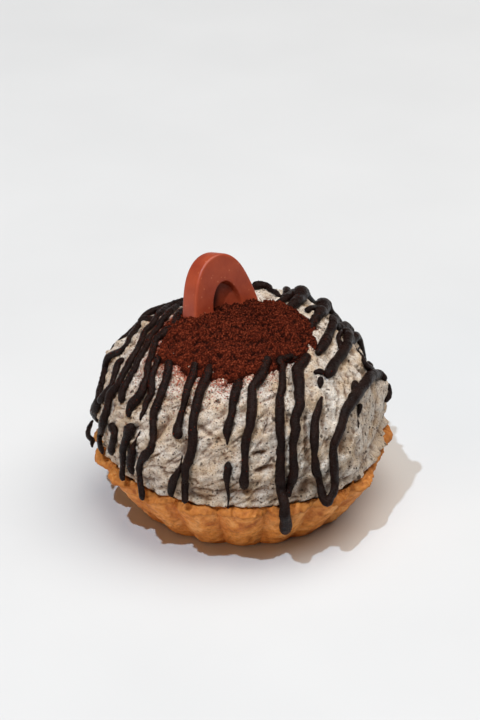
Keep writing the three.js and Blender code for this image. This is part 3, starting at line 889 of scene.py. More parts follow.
@dataclass
class WhippedCream:
    """Dome of whipped cream."""

    radius: float = 40.0
    equator: float = 24.0
    rise: float = 29.6
    squareness: float = 2.4
    crown_shift: tuple[float, float] = (0.3, 1.0)
    rim_radius: float = 37.5
    tucked: float = -9.0
    columns: int = 640
    row_step: float = 0.46
    crown_rows: tuple[float, ...] = (86, 80, 74, 69, 65, 62)
    lowest: float = -7.2
    foot: tuple[tuple[float, float], ...] = ((30.8, 10.8), (24.7, 3.7))
    flare: tuple[float, float, float] = (1.8, -3.0, -7.2)
    twist: tuple[float, float, float] = (1.1, 0.7, 200)
    stroke_stretch: float = 0.45
    swellings: tuple[tuple[float, float, float, float], ...] = (
        (15, 25, 12, -4.4), (30, 33, 9, -1.6), (2, 15, 6, 2.2), (350, -1, 20, -2.6), (66, 48, 20, 2.0),
        (140, 42, 18, 0.9), (167, 24, 6, 2.2), (236, 7, 12, 1.4), (231, 24, 7, -1.0), (276, 33, 10, 0.7),
        (279, 13, 5, -0.9), (318, 30, 10, 0.6), (338, 12, 11, -1.8), (128, 18, 14, -1.2), (75, 12, 16, 0.8),
        (100, 30, 12, -1.1), (150, 6, 12, 0.9),
    )
    marks: tuple[Mark, ...] = (
        Mark(278, 8.6, 2.6, 0.7, 1.6, 10), Mark(276, 15.0, 2.0, 0.6, 1.2, 10),
        Mark(284, 36.2, 3.4, 0.5, 0.8, 22), Mark(255, 22.0, 4.0, 0.6, 0.6, -28),
        Mark(246.5, 15.4, 2.0, 1.6, 1.2, 80), Mark(233, 17.0, 4.6, 1.1, 1.4, 75),
        Mark(250, 2.8, 1.8, 1.0, 0.9, 0), Mark(265, -0.9, 14.0, 0.6, 0.8, 1),
        Mark(294, -1.4, 2.2, 2.0, 0.9, 60), Mark(296, 18.0, 8.0, 1.1, 0.8, 86),
        Mark(273, 18.0, 3.0, 0.8, 0.6, 24), Mark(312, 12.0, 2.6, 0.9, 1.2, 60),
        Mark(338, 13.0, 6.0, 0.7, 0.6, 82), Mark(328, 12.0, 8.0, 0.8, 0.6, 84),
        Mark(305, 20.0, 8.0, 0.9, 0.6, 86), Mark(345, 10.0, 5.0, 0.6, 0.5, 80),
    )
    ledge: tuple[float, float, float, float, float, float] = (248, 298, 6, 0.8, 2.6, 1.1)
    fold_height: float = 1.15
    tear_height: float = 0.55
    lumps: Layer = Layer(0.75, 4.2, 3, 2)
    lines: Lines = Lines(0.8, 8.5, 0.07, 3)
    nicks: Lines = Lines(0.55, 5.0, 0.05, 5)
    pores: Pits = Pits(0.3, 2.6, 0.45, 0.6, 7)
    grain: Layer = Layer(0.17, 0.7, 3, 8)
    flare_uneven: Layer = Layer(0.9, 3.2, 3, 15)

    def dome(self, elevation: np.ndarray) -> np.ndarray:
        """Distance of the smooth dome from the middle of its widest part."""
        e = np.radians(elevation)
        across = np.abs(np.cos(e)) / self.radius
        up = np.maximum(np.sin(e), 0) / self.rise
        above = (across ** self.squareness + up ** self.squareness) ** (-1 / self.squareness)
        below = (self.radius - (self.radius - self.rim_radius) * ramp(0, self.tucked, elevation)) / np.cos(e)
        return np.where(elevation < 0, below, above)

    def at(self, azimuth: np.ndarray, elevation: np.ndarray, distance: np.ndarray) -> np.ndarray:
        """Point at a distance from the middle of the widest part."""
        e = np.radians(elevation)
        lean = np.maximum(0, np.sin(e))[..., None] * (*self.crown_shift, 0)
        return polar(distance * np.cos(e), azimuth, distance * np.sin(e) + self.equator) + lean

    def form(self, azimuth: np.ndarray, elevation: np.ndarray) -> np.ndarray:
        """Broad hollows and swellings over the smooth dome, as in the solid."""
        shrink = np.cos(np.radians(elevation))
        height = np.zeros(np.broadcast(azimuth, elevation).shape)
        for az, el, spread, rise in self.swellings:
            across = turn_between(azimuth, az) * shrink / spread
            height += rise * np.exp(-across ** 2 - ((elevation - el) / spread) ** 2)
        a, e = np.radians(azimuth), np.radians(elevation)
        height += shrink * 0.35 * np.sin(7 * a + 3.1 * np.sin(4 * e) + 0.6)
        height += shrink * 0.30 * np.sin(11 * e + 2.0 * np.sin(3 * a) + 0.9)
        start, end, fade, el, spread, depth = self.ledge
        inside = ramp(start - fade, start, azimuth) * ramp(end + fade, end, azimuth)
        height -= depth * inside * np.exp(-((elevation - el) / spread) ** 2)
        return height * ramp(-8, -3, elevation)

    def strokes(self, azimuth: np.ndarray, elevation: np.ndarray) -> np.ndarray:
        """Places stretched along the spatula's strokes, which lean to the right as they rise."""
        mean, swing, most = self.twist
        turned = azimuth - (mean + swing * np.cos(np.radians(azimuth - most))) * elevation
        e = np.radians(elevation)
        return polar(self.radius * np.cos(e), turned, self.stroke_stretch * self.radius * np.sin(e))

    def texture(self, azimuth: np.ndarray, elevation: np.ndarray) -> np.ndarray:
        """Height of folds, creases and pores over the form, in millimetres."""
        places = self.at(azimuth, elevation, self.dome(elevation))
        strokes = self.strokes(azimuth, elevation)
        warp = wander(places, 4.0, 60)
        folds = np.abs(fractal(strokes + 1.5 * warp, 6.0, 2, 1))
        torn = np.abs(fractal(strokes + 0.8 * warp, 1.9, 3, 9))
        patch = ramp(-0.15, 0.3, fractal(places, 9.0, 2, 10))
        lines = self.lines.over(strokes) * ramp(-0.25, 0.25, fractal(places, 9.0, 2, 4))
        nicks = self.nicks.over(places * (1, 1, 1.5)) * ramp(0.0, 0.4, fractal(places, 7.0, 2, 6))
        height = self.fold_height * (folds - 0.2) + self.lumps.over(places + 1.2 * warp) - lines
        height -= nicks + self.pores.over(places)
        height += (0.25 + 0.75 * patch) * self.tear_height * (torn - 0.12) + self.grain.over(places)
        for mark in self.marks:
            height -= mark.depth * self._cut(mark, azimuth, elevation)
        reach, start, end = self.flare
        reach = reach + self.flare_uneven.over(places)
        return height * ramp(-12, -5, elevation) + reach * ramp(start, end, elevation)

    def _cut(self, mark: Mark, azimuth: np.ndarray, elevation: np.ndarray) -> np.ndarray:
        """How far inside a mark each place is, from 0 to 1."""
        scale = np.radians(1) * self.radius
        across = turn_between(azimuth, mark.azimuth) * np.cos(np.radians(elevation)) * scale
        up = (elevation - mark.elevation) * scale
        slope = math.radians(mark.slope)
        along = across * math.cos(slope) + up * math.sin(slope)
        beside = up * math.cos(slope) - across * math.sin(slope)
        return np.exp(-(along / mark.length) ** 4 - (beside / mark.width) ** 2)

    def surface(self, azimuth: np.ndarray, elevation: np.ndarray) -> np.ndarray:
        """Points of the cream's surface."""
        height = self.texture(azimuth, elevation)
        return self.at(azimuth, elevation, self.dome(elevation) + self.form(azimuth, elevation) + height)

    def height_over(self, azimuth: np.ndarray, radius: np.ndarray) -> np.ndarray:
        """Height of the broad form at plan radii.

        Args:
            azimuth: one for each column.
            radius: rows by columns, in millimetres.

        Returns:
            Heights in the shape of radius.
        """
        steps = np.linspace(90, 0, 181)
        heights = np.zeros_like(radius)
        for column, turn in enumerate(azimuth):
            turns = np.full_like(steps, turn)
            line = self.at(turns, steps, self.dome(steps) + self.form(turns, steps))
            heights[:, column] = np.interp(radius[:, column], np.hypot(line[:, 0], line[:, 1]), line[:, 2])
        return heights

    def build(self, case: PastryCase, finish: bpy.types.Material, cocoa: "CocoaHeap") -> bpy.types.Object:
        """Builds the dome, down into the case."""
        shown = np.arange(self.crown_rows[-1] - 3, self.lowest, -self.row_step)
        elevation = np.concatenate([self.crown_rows, shown])[:, None]
        azimuth = np.arange(self.columns)[None] * 360 / self.columns
        azimuth, elevation = np.broadcast_arrays(azimuth, elevation)
        height = self.texture(azimuth, elevation)
        points = self.at(azimuth, elevation, self.dome(elevation) + self.form(azimuth, elevation) + height)
        foot = ((case.inner_rim - 1.6, case.height - 1.6), *self.foot)
        points = np.concatenate([points, *(polar(radius, azimuth[:1], low) for radius, low in foot)])
        # painted shade: the hollow mark darkens the cream where it lies below its surroundings
        deep = np.maximum(hollows(height, 5, 0.5), 0.8 * hollows(height, 15, 1.1))
        shown_marks = {"dust": cocoa.dusting(self, azimuth, elevation), "hollow": deep}
        plain = np.zeros((len(foot), self.columns))
        marks = {name: np.concatenate([values, plain])[::-1] for name, values in shown_marks.items()}
        top = np.array(90.0)
        crown = self.at(np.array(0.0), top, self.dome(top))
        return make_shell("whipped_cream", points[::-1], [(0, 0, foot[-1][1]), crown], finish, Slot.CREAM,
                          "cream", marks)


# Camera


@dataclass(frozen=True)
class PhotoCamera:
    """Camera at the photograph's viewing angle, aimed so that the case falls where the photo has it."""

    image: tuple[int, int] = (480, 720)
    target: tuple[float, float, float] = (0.0, 0.0, 17.5)
    target_pixel: tuple[float, float] = (244.5, 438.0)
    distance: float = 650.0
    elevation: float = 29.5
    pixels_per_mm: float = 3.58
    sensor: float = 36.0

    def place(self) -> np.ndarray:
        """Where it stands, in millimetres."""
        e = math.radians(self.elevation)
        return np.array(self.target) + self.distance * np.array([0, -math.cos(e), math.sin(e)])

    def turned(self) -> Euler:
        """How it is turned: up from straight down, then round."""
        focal = self.pixels_per_mm * self.distance
        right = self.target_pixel[0] - self.image[0] / 2
        down = self.target_pixel[1] - self.image[1] / 2
        tilt = math.pi / 2 - math.radians(self.elevation) + math.atan(down / focal)
        return Euler((tilt, 0, math.atan(right / focal)))

    def pixels(self, points: np.ndarray) -> np.ndarray:
        """Where points in millimetres fall in the image, as pixels across and down."""
        seen = (points - self.place()) @ np.array(self.turned().to_matrix())
        scale = self.pixels_per_mm * self.distance / -seen[..., 2]
        across = self.image[0] / 2 + scale * seen[..., 0]
        return np.stack([across, self.image[1] / 2 - scale * seen[..., 1]], -1)

    def build(self) -> None:
        """Makes the camera and gives it to the scene."""
        data = bpy.data.cameras.new("photo_camera")
        data.sensor_width = self.sensor
        data.lens = self.pixels_per_mm * self.distance * self.sensor / max(self.image)
        data.clip_start = 0.01
        camera = add_object("photo_camera", data)
        camera.location = self.place() * MM
        camera.rotation_euler = self.turned()
        bpy.context.scene.camera = camera


# Piped chocolate


# A run of a strand: where each of its points is, as two values, and its width there
Course = tuple[tuple[float, float, float], ...]


def straight(azimuth: float, start: float, end: float) -> Course:
    """The straight run of a strand down the dome at one azimuth, thin at its foot."""
    step, drip_step, width, foot = 11, 4, 2.7, 2.1
    points = []
    elevation = start
    while elevation > end:
        points.append((azimuth, elevation, width))
        elevation -= min(step, max(drip_step, elevation))
    return (*points, (azimuth, end, foot))


@dataclass(frozen=True)
class Strand:
    """One piped strand, from one end to the other.

    seen: what the photograph shows of it, as points in pixels across, down and wide.
    before, after: the parts that the photograph hides, in azimuth, elevation and millimetres wide.
    """

    seen: Course = ()
    before: Course = ()
    after: Course = ()


STRANDS = (
    # left side, carried on over the top to the back
    Strand(((157, 315, 5), (150, 318, 5), (143, 321, 5.5), (137, 326, 5.5), (132, 333, 5.5), (127, 340, 4.5),
            (125, 345, 4), (121, 349, 5), (113, 353, 6.5), (107, 359, 6.5), (103, 367, 5.5), (101, 376, 5.5),
            (98, 384, 6), (99, 392, 6.5), (98, 400, 7), (95, 407, 8.5), (94, 414, 8), (96, 420, 5),
            (96, 423, 2)),
           before=(*straight(92, 26, -5)[::-1], (100, 30, 2.5), (115, 33, 2.4), (132, 36, 2.2))),
    Strand(((182, 299, 4), (176, 302, 5.5), (169, 306, 6), (162, 312, 6), (156, 319, 6), (150, 326, 6),
            (144, 334, 6), (140, 342, 6), (136, 350, 6), (131, 357, 6.5), (127, 364, 6.5), (124, 372, 6.5),
            (121, 380, 7), (117, 387, 7.5), (112, 392, 8), (108, 399, 7.5), (107, 406, 7.5), (106, 413, 7.5),
            (104, 420, 8), (101, 428, 6.5), (99, 436, 6), (99, 444, 6), (101, 451, 5), (101, 455, 2.5)),
           before=(*straight(80, 24, 2)[::-1], (87, 33, 2.5), (97, 37, 2.4), (111, 38, 2.0))),
    Strand(((177, 305, 5), (171, 311, 6.5), (166, 317, 6.5), (161, 323, 6.5), (155, 330, 6), (150, 337, 6),
            (145, 344, 5.5), (142, 351, 6), (138, 358, 6), (135, 365, 6), (132, 372, 6), (129, 380, 6),
            (125, 387, 7), (122, 393, 8), (120, 399, 7), (118, 403, 4))),
    Strand(((122, 357, 4), (117, 362, 6.5), (113, 370, 6.5), (111, 378, 5), (110, 385, 5), (107, 391, 7),
            (103, 396, 7), (99, 402, 7))),
    Strand(((183, 309, 6), (178, 318, 8), (172, 327, 8), (166, 333, 9), (158, 338, 7), (153, 345, 6),
            (151, 353, 6), (149, 361, 6), (148, 369, 7), (147, 377, 7), (144, 385, 8), (142, 392, 9),
            (138, 398, 9), (132, 404, 9), (129, 410, 7), (129, 416, 5), (129, 418, 2))),
    Strand(((158, 356, 7), (155, 364, 6), (152, 372, 6), (151, 380, 7), (150, 388, 7), (149, 396, 6),
            (145, 403, 6), (143, 410, 5), (141, 417, 3.5), (140, 421, 1.5))),
    Strand(before=((170, -6.6, 0.6), (174, -7.1, 1.5), (180, -7.5, 1.7), (185, -8.0, 1.5),
                   (188, -8.4, 0.6))),
    Strand(((112, 422, 5), (112, 426, 8), (114, 432, 7), (114, 438, 7), (112, 445, 6), (111, 451, 6),
            (111, 456, 3))),
    Strand(((131, 423, 9), (131, 427, 11), (129, 432, 10), (127, 438, 8), (125, 444, 8), (123, 450, 7),
            (122, 457, 6), (122, 464, 6), (122, 471, 6), (122, 478, 6), (122, 482, 3))),
    Strand(((139, 431, 1.2), (136, 438, 2), (133, 444, 3), (132, 450, 7), (131, 458, 8), (131, 466, 7),
            (132, 473, 5), (132, 476, 2))),
    # front
    Strand(((169, 360, 7), (168, 371, 8), (166, 379, 8), (163, 387, 8), (161, 395, 8), (158, 403, 8),
            (155, 411, 8), (153, 419, 7), (152, 427, 7), (151, 435, 7), (151, 443, 7), (149, 450, 8),
            (144, 456, 8), (140, 462, 6), (139, 469, 6), (140, 477, 6), (141, 485, 7), (142, 492, 7),
            (142, 500, 5))),
    Strand(((196, 363, 6), (193, 374, 8), (189, 385, 7.5), (186, 396, 7), (183, 406, 6), (180, 415, 6),
            (178, 423, 7), (177, 430, 9), (178, 436, 9), (178, 440, 4))),
    Strand(((210, 365, 7), (207, 375, 9), (204, 383, 9), (201, 391, 9), (198, 400, 9), (196, 408, 9),
            (194, 416, 8), (193, 424, 8), (193, 432, 9), (193, 440, 9), (192, 448, 9), (190, 456, 9),
            (188, 462, 9.5), (185, 468, 8), (185, 476, 7), (185, 490, 7), (185, 499, 7), (184, 505, 4.5))),
    Strand(((180, 456, 1.5), (180, 462, 2), (179, 468, 3), (177, 474, 6), (174, 480, 8), (172, 486, 8),
            (171, 493, 7), (171, 499, 3))),
    Strand(((239, 379, 8), (237, 388, 9), (235, 396, 9), (233, 404, 7.5), (232, 412, 7), (230, 420, 7),
            (228, 427, 8), (227, 434, 7), (227, 440, 3.5), (227, 446, 1.5))),
    Strand(((228, 462, 3), (228, 466, 7), (228, 471, 8), (227, 477, 7), (227, 484, 5), (227, 491, 3.5),
            (228, 498, 2.5), (228, 505, 1.8), (228, 511, 1.5))),
    Strand(((268, 357, 8), (265, 366, 9), (262, 374, 10), (258, 380, 10), (253, 386, 8), (252, 394, 8.5),
            (252, 402, 9), (252, 410, 9.5), (251, 418, 9), (250, 426, 9), (248, 433, 8.5), (246, 440, 8.5),
            (245, 448, 8), (245, 456, 6.5), (245, 464, 6.5), (245, 472, 7.5), (244, 480, 8.5), (244, 487, 8),
            (244, 492, 4))),
    Strand(((296, 359, 5), (290, 356, 7), (285, 358, 7.5), (283, 366, 6.5), (283, 374, 6.5), (283, 382, 7),
            (282, 390, 7.5), (280, 398, 8), (280, 406, 8.5), (280, 414, 9), (280, 422, 9), (280, 430, 8.5),
            (281, 437, 8), (282, 444, 7), (281, 452, 8), (281, 460, 8.5), (280, 468, 9), (280, 476, 9.5),
            (280, 484, 9), (281, 491, 9), (283, 498, 10), (284, 505, 10), (284, 512, 10.5), (285, 519, 11),
            (285, 525, 12), (285, 531, 8))),
    Strand(((309, 354, 7), (305, 360, 9), (300, 366, 10), (298, 374, 10.5), (298, 382, 10.5), (299, 390, 10),
            (299, 398, 9.5), (299, 406, 9.5), (297, 414, 9), (295, 421, 9), (295, 429, 9), (294, 437, 8.5),
            (293, 445, 8), (293, 453, 7.5), (293, 461, 8), (294, 469, 8.5), (293, 477, 9.5), (291, 484, 8),
            (289, 491, 7), (287, 498, 7))),
    Strand(((322, 396, 2), (320, 402, 5), (319, 408, 6), (317, 416, 7.5), (316, 424, 8.5), (315, 432, 9),
            (315, 440, 9), (315, 448, 8), (315, 456, 6), (316, 463, 7.5), (316, 470, 8), (319, 479, 6),
            (320, 485, 7), (321, 491, 8.5), (323, 498, 8), (326, 502, 9), (330, 497, 8), (333, 490, 8.5),
            (334, 482, 8.5), (334, 474, 8.5), (334, 466, 9), (334, 458, 8.5), (334, 450, 8), (335, 443, 8.5),
            (337, 436, 9), (339, 429, 9), (341, 422, 8.5), (343, 415, 9), (346, 408, 10), (350, 402, 11),
            (355, 395, 11), (361, 387, 10), (366, 380, 9.5), (371, 376, 9), (377, 375, 8), (383, 377, 6),
            (386, 381, 4))),
    Strand(((356, 380, 5), (356, 386, 8), (357, 393, 9), (357, 400, 8))),
    Strand(((361, 403, 6), (361, 410, 4), (360, 416, 1.6), (360, 423, 1.4), (360, 429, 1.1))),
    Strand(((321, 376, 4), (321, 382, 6), (321, 388, 2))),
    Strand(((314, 372, 3), (319, 371, 5), (325, 373, 5))),
    # right side, carried on over the top to the back
    Strand(((317, 354, 4), (320, 350, 8), (324, 344, 9), (328, 337, 8.5), (331, 330, 8), (334, 324, 8)),
           after=((390, 33, 2.4), *straight(398, 22, 3))),
    Strand(((326, 376, 6), (330, 371, 10), (334, 365, 9.5), (339, 358, 9), (343, 352, 9), (347, 345, 9),
            (352, 339, 9), (357, 337, 7)),
           after=straight(392, 12, -5)),
    Strand(((339, 327, 4), (343, 325, 6), (347, 326, 7), (350, 330, 5), (351, 334, 3))),
    Strand(((340, 331, 3), (340, 337, 4.5), (340, 343, 5), (340, 349, 4))),
    Strand(((361, 346, 1.5), (362, 353, 2.5), (364, 360, 4), (368, 364, 4.5), (373, 366, 5), (377, 370, 3))),
    Strand(((388, 383, 2), (390, 388, 4), (390, 393, 6), (388, 398, 6), (387, 402, 3))),
    # back
    Strand(((311, 328, 3), (313, 323, 7), (317, 317, 9), (322, 311, 10), (328, 308, 9.5), (333, 310, 6)),
           after=straight(404, 25, -12)),
    Strand(((306, 310, 5), (313, 308, 6), (320, 306, 5))),
    Strand(((288, 308, 7), (294, 304, 9), (299, 300, 9.5), (304, 295, 9.5), (308, 292, 8)),
           after=straight(414, 30, 8)),
    Strand(((276, 303, 5), (281, 300, 6.5), (287, 297, 7), (292, 293, 7), (297, 291, 6)),
           after=straight(420, 32, -2)),
    Strand(((253, 288, 9), (259, 286, 8.5), (265, 286, 7), (271, 289, 5), (276, 291, 5.5), (279, 293, 4)),
           after=straight(427, 38, -10)),
    Strand(before=((155, 34, 2.4), (146, 39, 2.6), (135, 40, 2.6), (123, 37, 2.6), (113, 30, 2.6),
                   *straight(106, 20, -1))),
    Strand(before=((166, 15, 2.2), (157, 24, 2.6), (145, 28, 2.6), (132, 26, 2.6), *straight(119, 16, -11))),
    Strand(before=((176, 2, 2.2), (169, 9, 2.5), (158, 15, 2.6), (146, 15, 2.6), *straight(134, 8, 0))),
)


def smooth_path(points: np.ndarray, spacing: float) -> np.ndarray:
    """A smooth line through points, at even steps.

    Args:
        points: n by k, the first three of which are a place in millimetres.
        spacing: length of a step in millimetres.

    Returns:
        Points of the line, m by k.
    """
    steps = np.linalg.norm(np.diff(points[:, :3], axis=0), axis=1)
    place = np.concatenate([[0], np.cumsum(np.maximum(steps, 1e-6))])
    slope = np.gradient(points, place, axis=0)
    count = max(4, int(round(place[-1] / spacing)) + 1)
    wanted = np.linspace(0, place[-1], count)
    index = np.clip(np.searchsorted(place, wanted, side="right") - 1, 0, len(place) - 2)
    width = (place[index + 1] - place[index])[:, None]
    share = ((wanted - place[index])[:, None] / width)
    square, cube = share ** 2, share ** 3
    return ((2 * cube - 3 * square + 1) * points[index] + (cube - 2 * square + share) * width * slope[index]
            + (3 * square - 2 * cube) * points[index + 1] + (cube - square) * width * slope[index + 1])


@dataclass
class PipedStrands:
    """Chocolate strands over the cream and over the rim of the case."""

    cream: WhippedCream
    case: PastryCase
    camera: PhotoCamera
    sides: int = 16
    spacing: float = 0.42
    lift: float = 0.55
    leaves: float = -0.5
    clears: float = -7.5
    hang_gap: float = 0.05
    hang_over: tuple[float, ...] = (-3, 0, 3)
    settles: int = 8
    bridges: int = 25
    search_step: float = 1.0
    search_from: float = 82.0
    search_to: float = -22.0
    usual_half: float = 1.2
    swell: float = 1.03
    edge_on: float = 0.74
    squashed: tuple[float, float] = (0.75, 0.92)
    bump_height: float = 0.07
    drift: float = 0.11
    swelling: float = 0.09
    strands: tuple[Strand, ...] = STRANDS

    def hanging(self, azimuth: np.ndarray, elevation: np.ndarray, half: np.ndarray) -> np.ndarray:
        """Distance at which a drip hangs outside the case."""
        case = self.case
        slope = (case.rim_radius - case.base_radius) / case.height
        clear = (half + self.hang_gap) * math.hypot(1, slope)
        radius = np.full_like(azimuth, case.rim_radius)
        tangent = np.tan(np.radians(elevation))
        for _ in range(self.settles):
            height = self.cream.equator + radius * tangent
            level = np.minimum(height / case.height, 1)
            wall = np.max([case.radius(azimuth + turn, level) for turn in self.hang_over], axis=0)
            radius = wall + clear + np.maximum(0, height - case.height) * slope
        return radius / np.cos(np.radians(elevation))

    def centre(self, guide: np.ndarray) -> np.ndarray:
        """Centre line of a strand.

        Args:
            guide: azimuth, elevation and width along it.

        Returns:
            Points in millimetres, with the half width as a fourth column.
        """
        azimuth, elevation, half = guide[:, 0], guide[:, 1], 0.5 * guide[:, 2]
        cream = self.cream
        beside = np.degrees(half / cream.radius)
        under = [cream.texture(azimuth + turn * beside, elevation) for turn in (-0.8, 0, 0.8)]
        bumps = np.mean(under, axis=0) + 0.35 * np.ptp(under, axis=0)
        window = np.hanning(self.bridges + 2)[1:-1]
        padded = np.pad(bumps, self.bridges // 2, mode="edge")
        eased = np.convolve(padded, window / window.sum(), mode="valid")
        return np.column_stack([self.laid(azimuth, elevation, half, eased), half])

    def laid(self, azimuth: np.ndarray, elevation: np.ndarray, half: np.ndarray,
             bumps: np.ndarray) -> np.ndarray:
        """Middles of strands where they lie on the cream, and lower down where they hang outside the case.

        Args:
            azimuth, elevation: where.
            half: half the strand's width, in millimetres.
            bumps: height of the cream's relief there.

        Returns:
            Points in millimetres.
        """
        cream = self.cream
        on_cream = cream.dome(elevation) + cream.form(azimuth, elevation) + bumps + self.lift * half
        share = ramp(self.leaves, self.clears, elevation)
        distance = on_cream + (self.hanging(azimuth, elevation, half) - on_cream) * share
        return cream.at(azimuth, elevation, distance)

    def located(self, seen: np.ndarray) -> np.ndarray:
        """Finds where on the pie points of the photograph lie.

        Each starts at the nearest place of a grid over the side that the camera sees, and takes one step
        from there to meet its line of sight.

        Args:
            seen: pixels across, down and wide.

        Returns:
            Azimuth, elevation and width in millimetres.
        """
        elevation, azimuth = np.meshgrid(np.arange(self.search_from, self.search_to, -self.search_step),
                                         np.arange(0, 360, self.search_step), indexing="ij")
        grid = self.laid(azimuth, elevation, np.full_like(azimuth, self.usual_half), 0.3)
        down, round_ = np.gradient(grid, axis=0), np.gradient(grid, axis=1)
        facing = np.sum(unit(np.cross(down, round_)) * unit(self.camera.place() - grid), -1)
        hidden = facing < 0
        shown = self.camera.pixels(grid)
        slopes = np.stack([np.gradient(shown, axis=0), np.gradient(shown, axis=1)], -1)
        rows = []
        for across, drop, wide in seen:
            gap = np.array([across, drop]) - shown
            nearest = np.unravel_index(np.argmin(np.sum(gap ** 2, -1) + 1e4 * hidden), hidden.shape)
            slope = slopes[nearest]
            step = np.linalg.solve(slope.T @ slope + 0.2 * np.eye(2), slope.T @ gap[nearest])
            step = np.clip(step, -1, 1) * self.search_step
            turned_away = 0 if elevation[nearest] < 0 else 1 - max(facing[nearest], 0)
            shown_part = 1 - (1 - self.edge_on) * turned_away
            rows.append((azimuth[nearest] + step[1], elevation[nearest] - step[0],
                         self.swell * wide / self.camera.pixels_per_mm / shown_part))
        return np.array(rows)

    def guide(self, strand: Strand) -> np.ndarray:
        """A strand's points with smooth ones between them, as azimuth, elevation and width."""
        parts = [np.array(part, float).reshape(-1, 3) for part in (strand.before, strand.after)]
        given = np.vstack([parts[0], self.located(strand.seen).reshape(-1, 3), parts[1]])
        given[:, 0] = np.unwrap(given[:, 0], period=360)
        scale = np.radians(1) * self.cream.radius
        across = given[:, 0] * np.cos(np.radians(given[:, 1])) * scale
        flat = np.column_stack([across, given[:, 1] * scale, 0 * across, given])
        return smooth_path(flat, self.spacing)[:, 3:]

    def tube(self, strand: Strand, seed: float) -> np.ndarray:
        """Rings of one strand, with round ends.

        Args:
            strand: where it runs.
            seed: the strand's own unevenness.

        Returns:
            Rings by sides by 3, in millimetres.
        """
        line = smooth_path(self.centre(self.guide(strand)), self.spacing)
        centre, half = line[:, :3], line[:, 3]
        uneven = fractal(centre, 3.0, 2, seed) + fractal(centre, 1.1, 2, seed + 1)
        half = half * (1 + self.swelling * uneven)
        centre = centre + self.drift * wander(centre, 4.0, seed + 2)
        along = unit(np.gradient(centre, axis=0))
        out = centre - (0, 0, self.cream.equator)
        out = unit(out - np.sum(out * along, 1, keepdims=True) * along)
        side = np.cross(along, out)
        length = np.concatenate([[0], np.cumsum(np.linalg.norm(np.diff(centre, axis=0), axis=1))])
        to_end = np.minimum(length, length[-1] - length)
        round_end = np.sqrt(np.clip(1 - np.clip(1 - to_end / (0.9 * half), 0, 1) ** 2, 0.003, 1))
        turn = np.arange(self.sides) * 2 * math.pi / self.sides
        rise = np.where(np.sin(turn) < 0, *self.squashed) * np.sin(turn)
        reach = (half * round_end)[:, None, None]
        ring = centre[:, None] + reach * (out[:, None] * rise[None, :, None]
                                          + side[:, None] * np.cos(turn)[None, :, None])
        bumps = self.bump_height * fractal(ring, 1.0, 3, 31) * round_end[:, None]
        return ring + bumps[..., None] * (ring - centre[:, None]) / np.maximum(reach, 0.1)

    def build(self, finish: bpy.types.Material) -> np.ndarray:
        """Builds all the strands as one piece, and gives back places on top of them, in millimetres."""
        points: list[np.ndarray] = []
        tops: list[np.ndarray] = []
        faces: list[list[int]] = []
        first = 0
        for number, strand in enumerate(self.strands):
            rings = self.tube(strand, 3.7 * number)
            ends = np.array([rings[0].mean(0), rings[-1].mean(0)])
            points += [rings.reshape(-1, 3), ends]
            tops.append(rings[:, self.sides // 8:3 * self.sides // 8 + 1].reshape(-1, 3))
            faces += grid_faces(*rings.shape[:2], first)
            first += rings.shape[0] * rings.shape[1] + 2
        make_piece("piped_chocolate", np.vstack(points), faces, finish, "cream")
        return np.vstack(tops)


# Cocoa


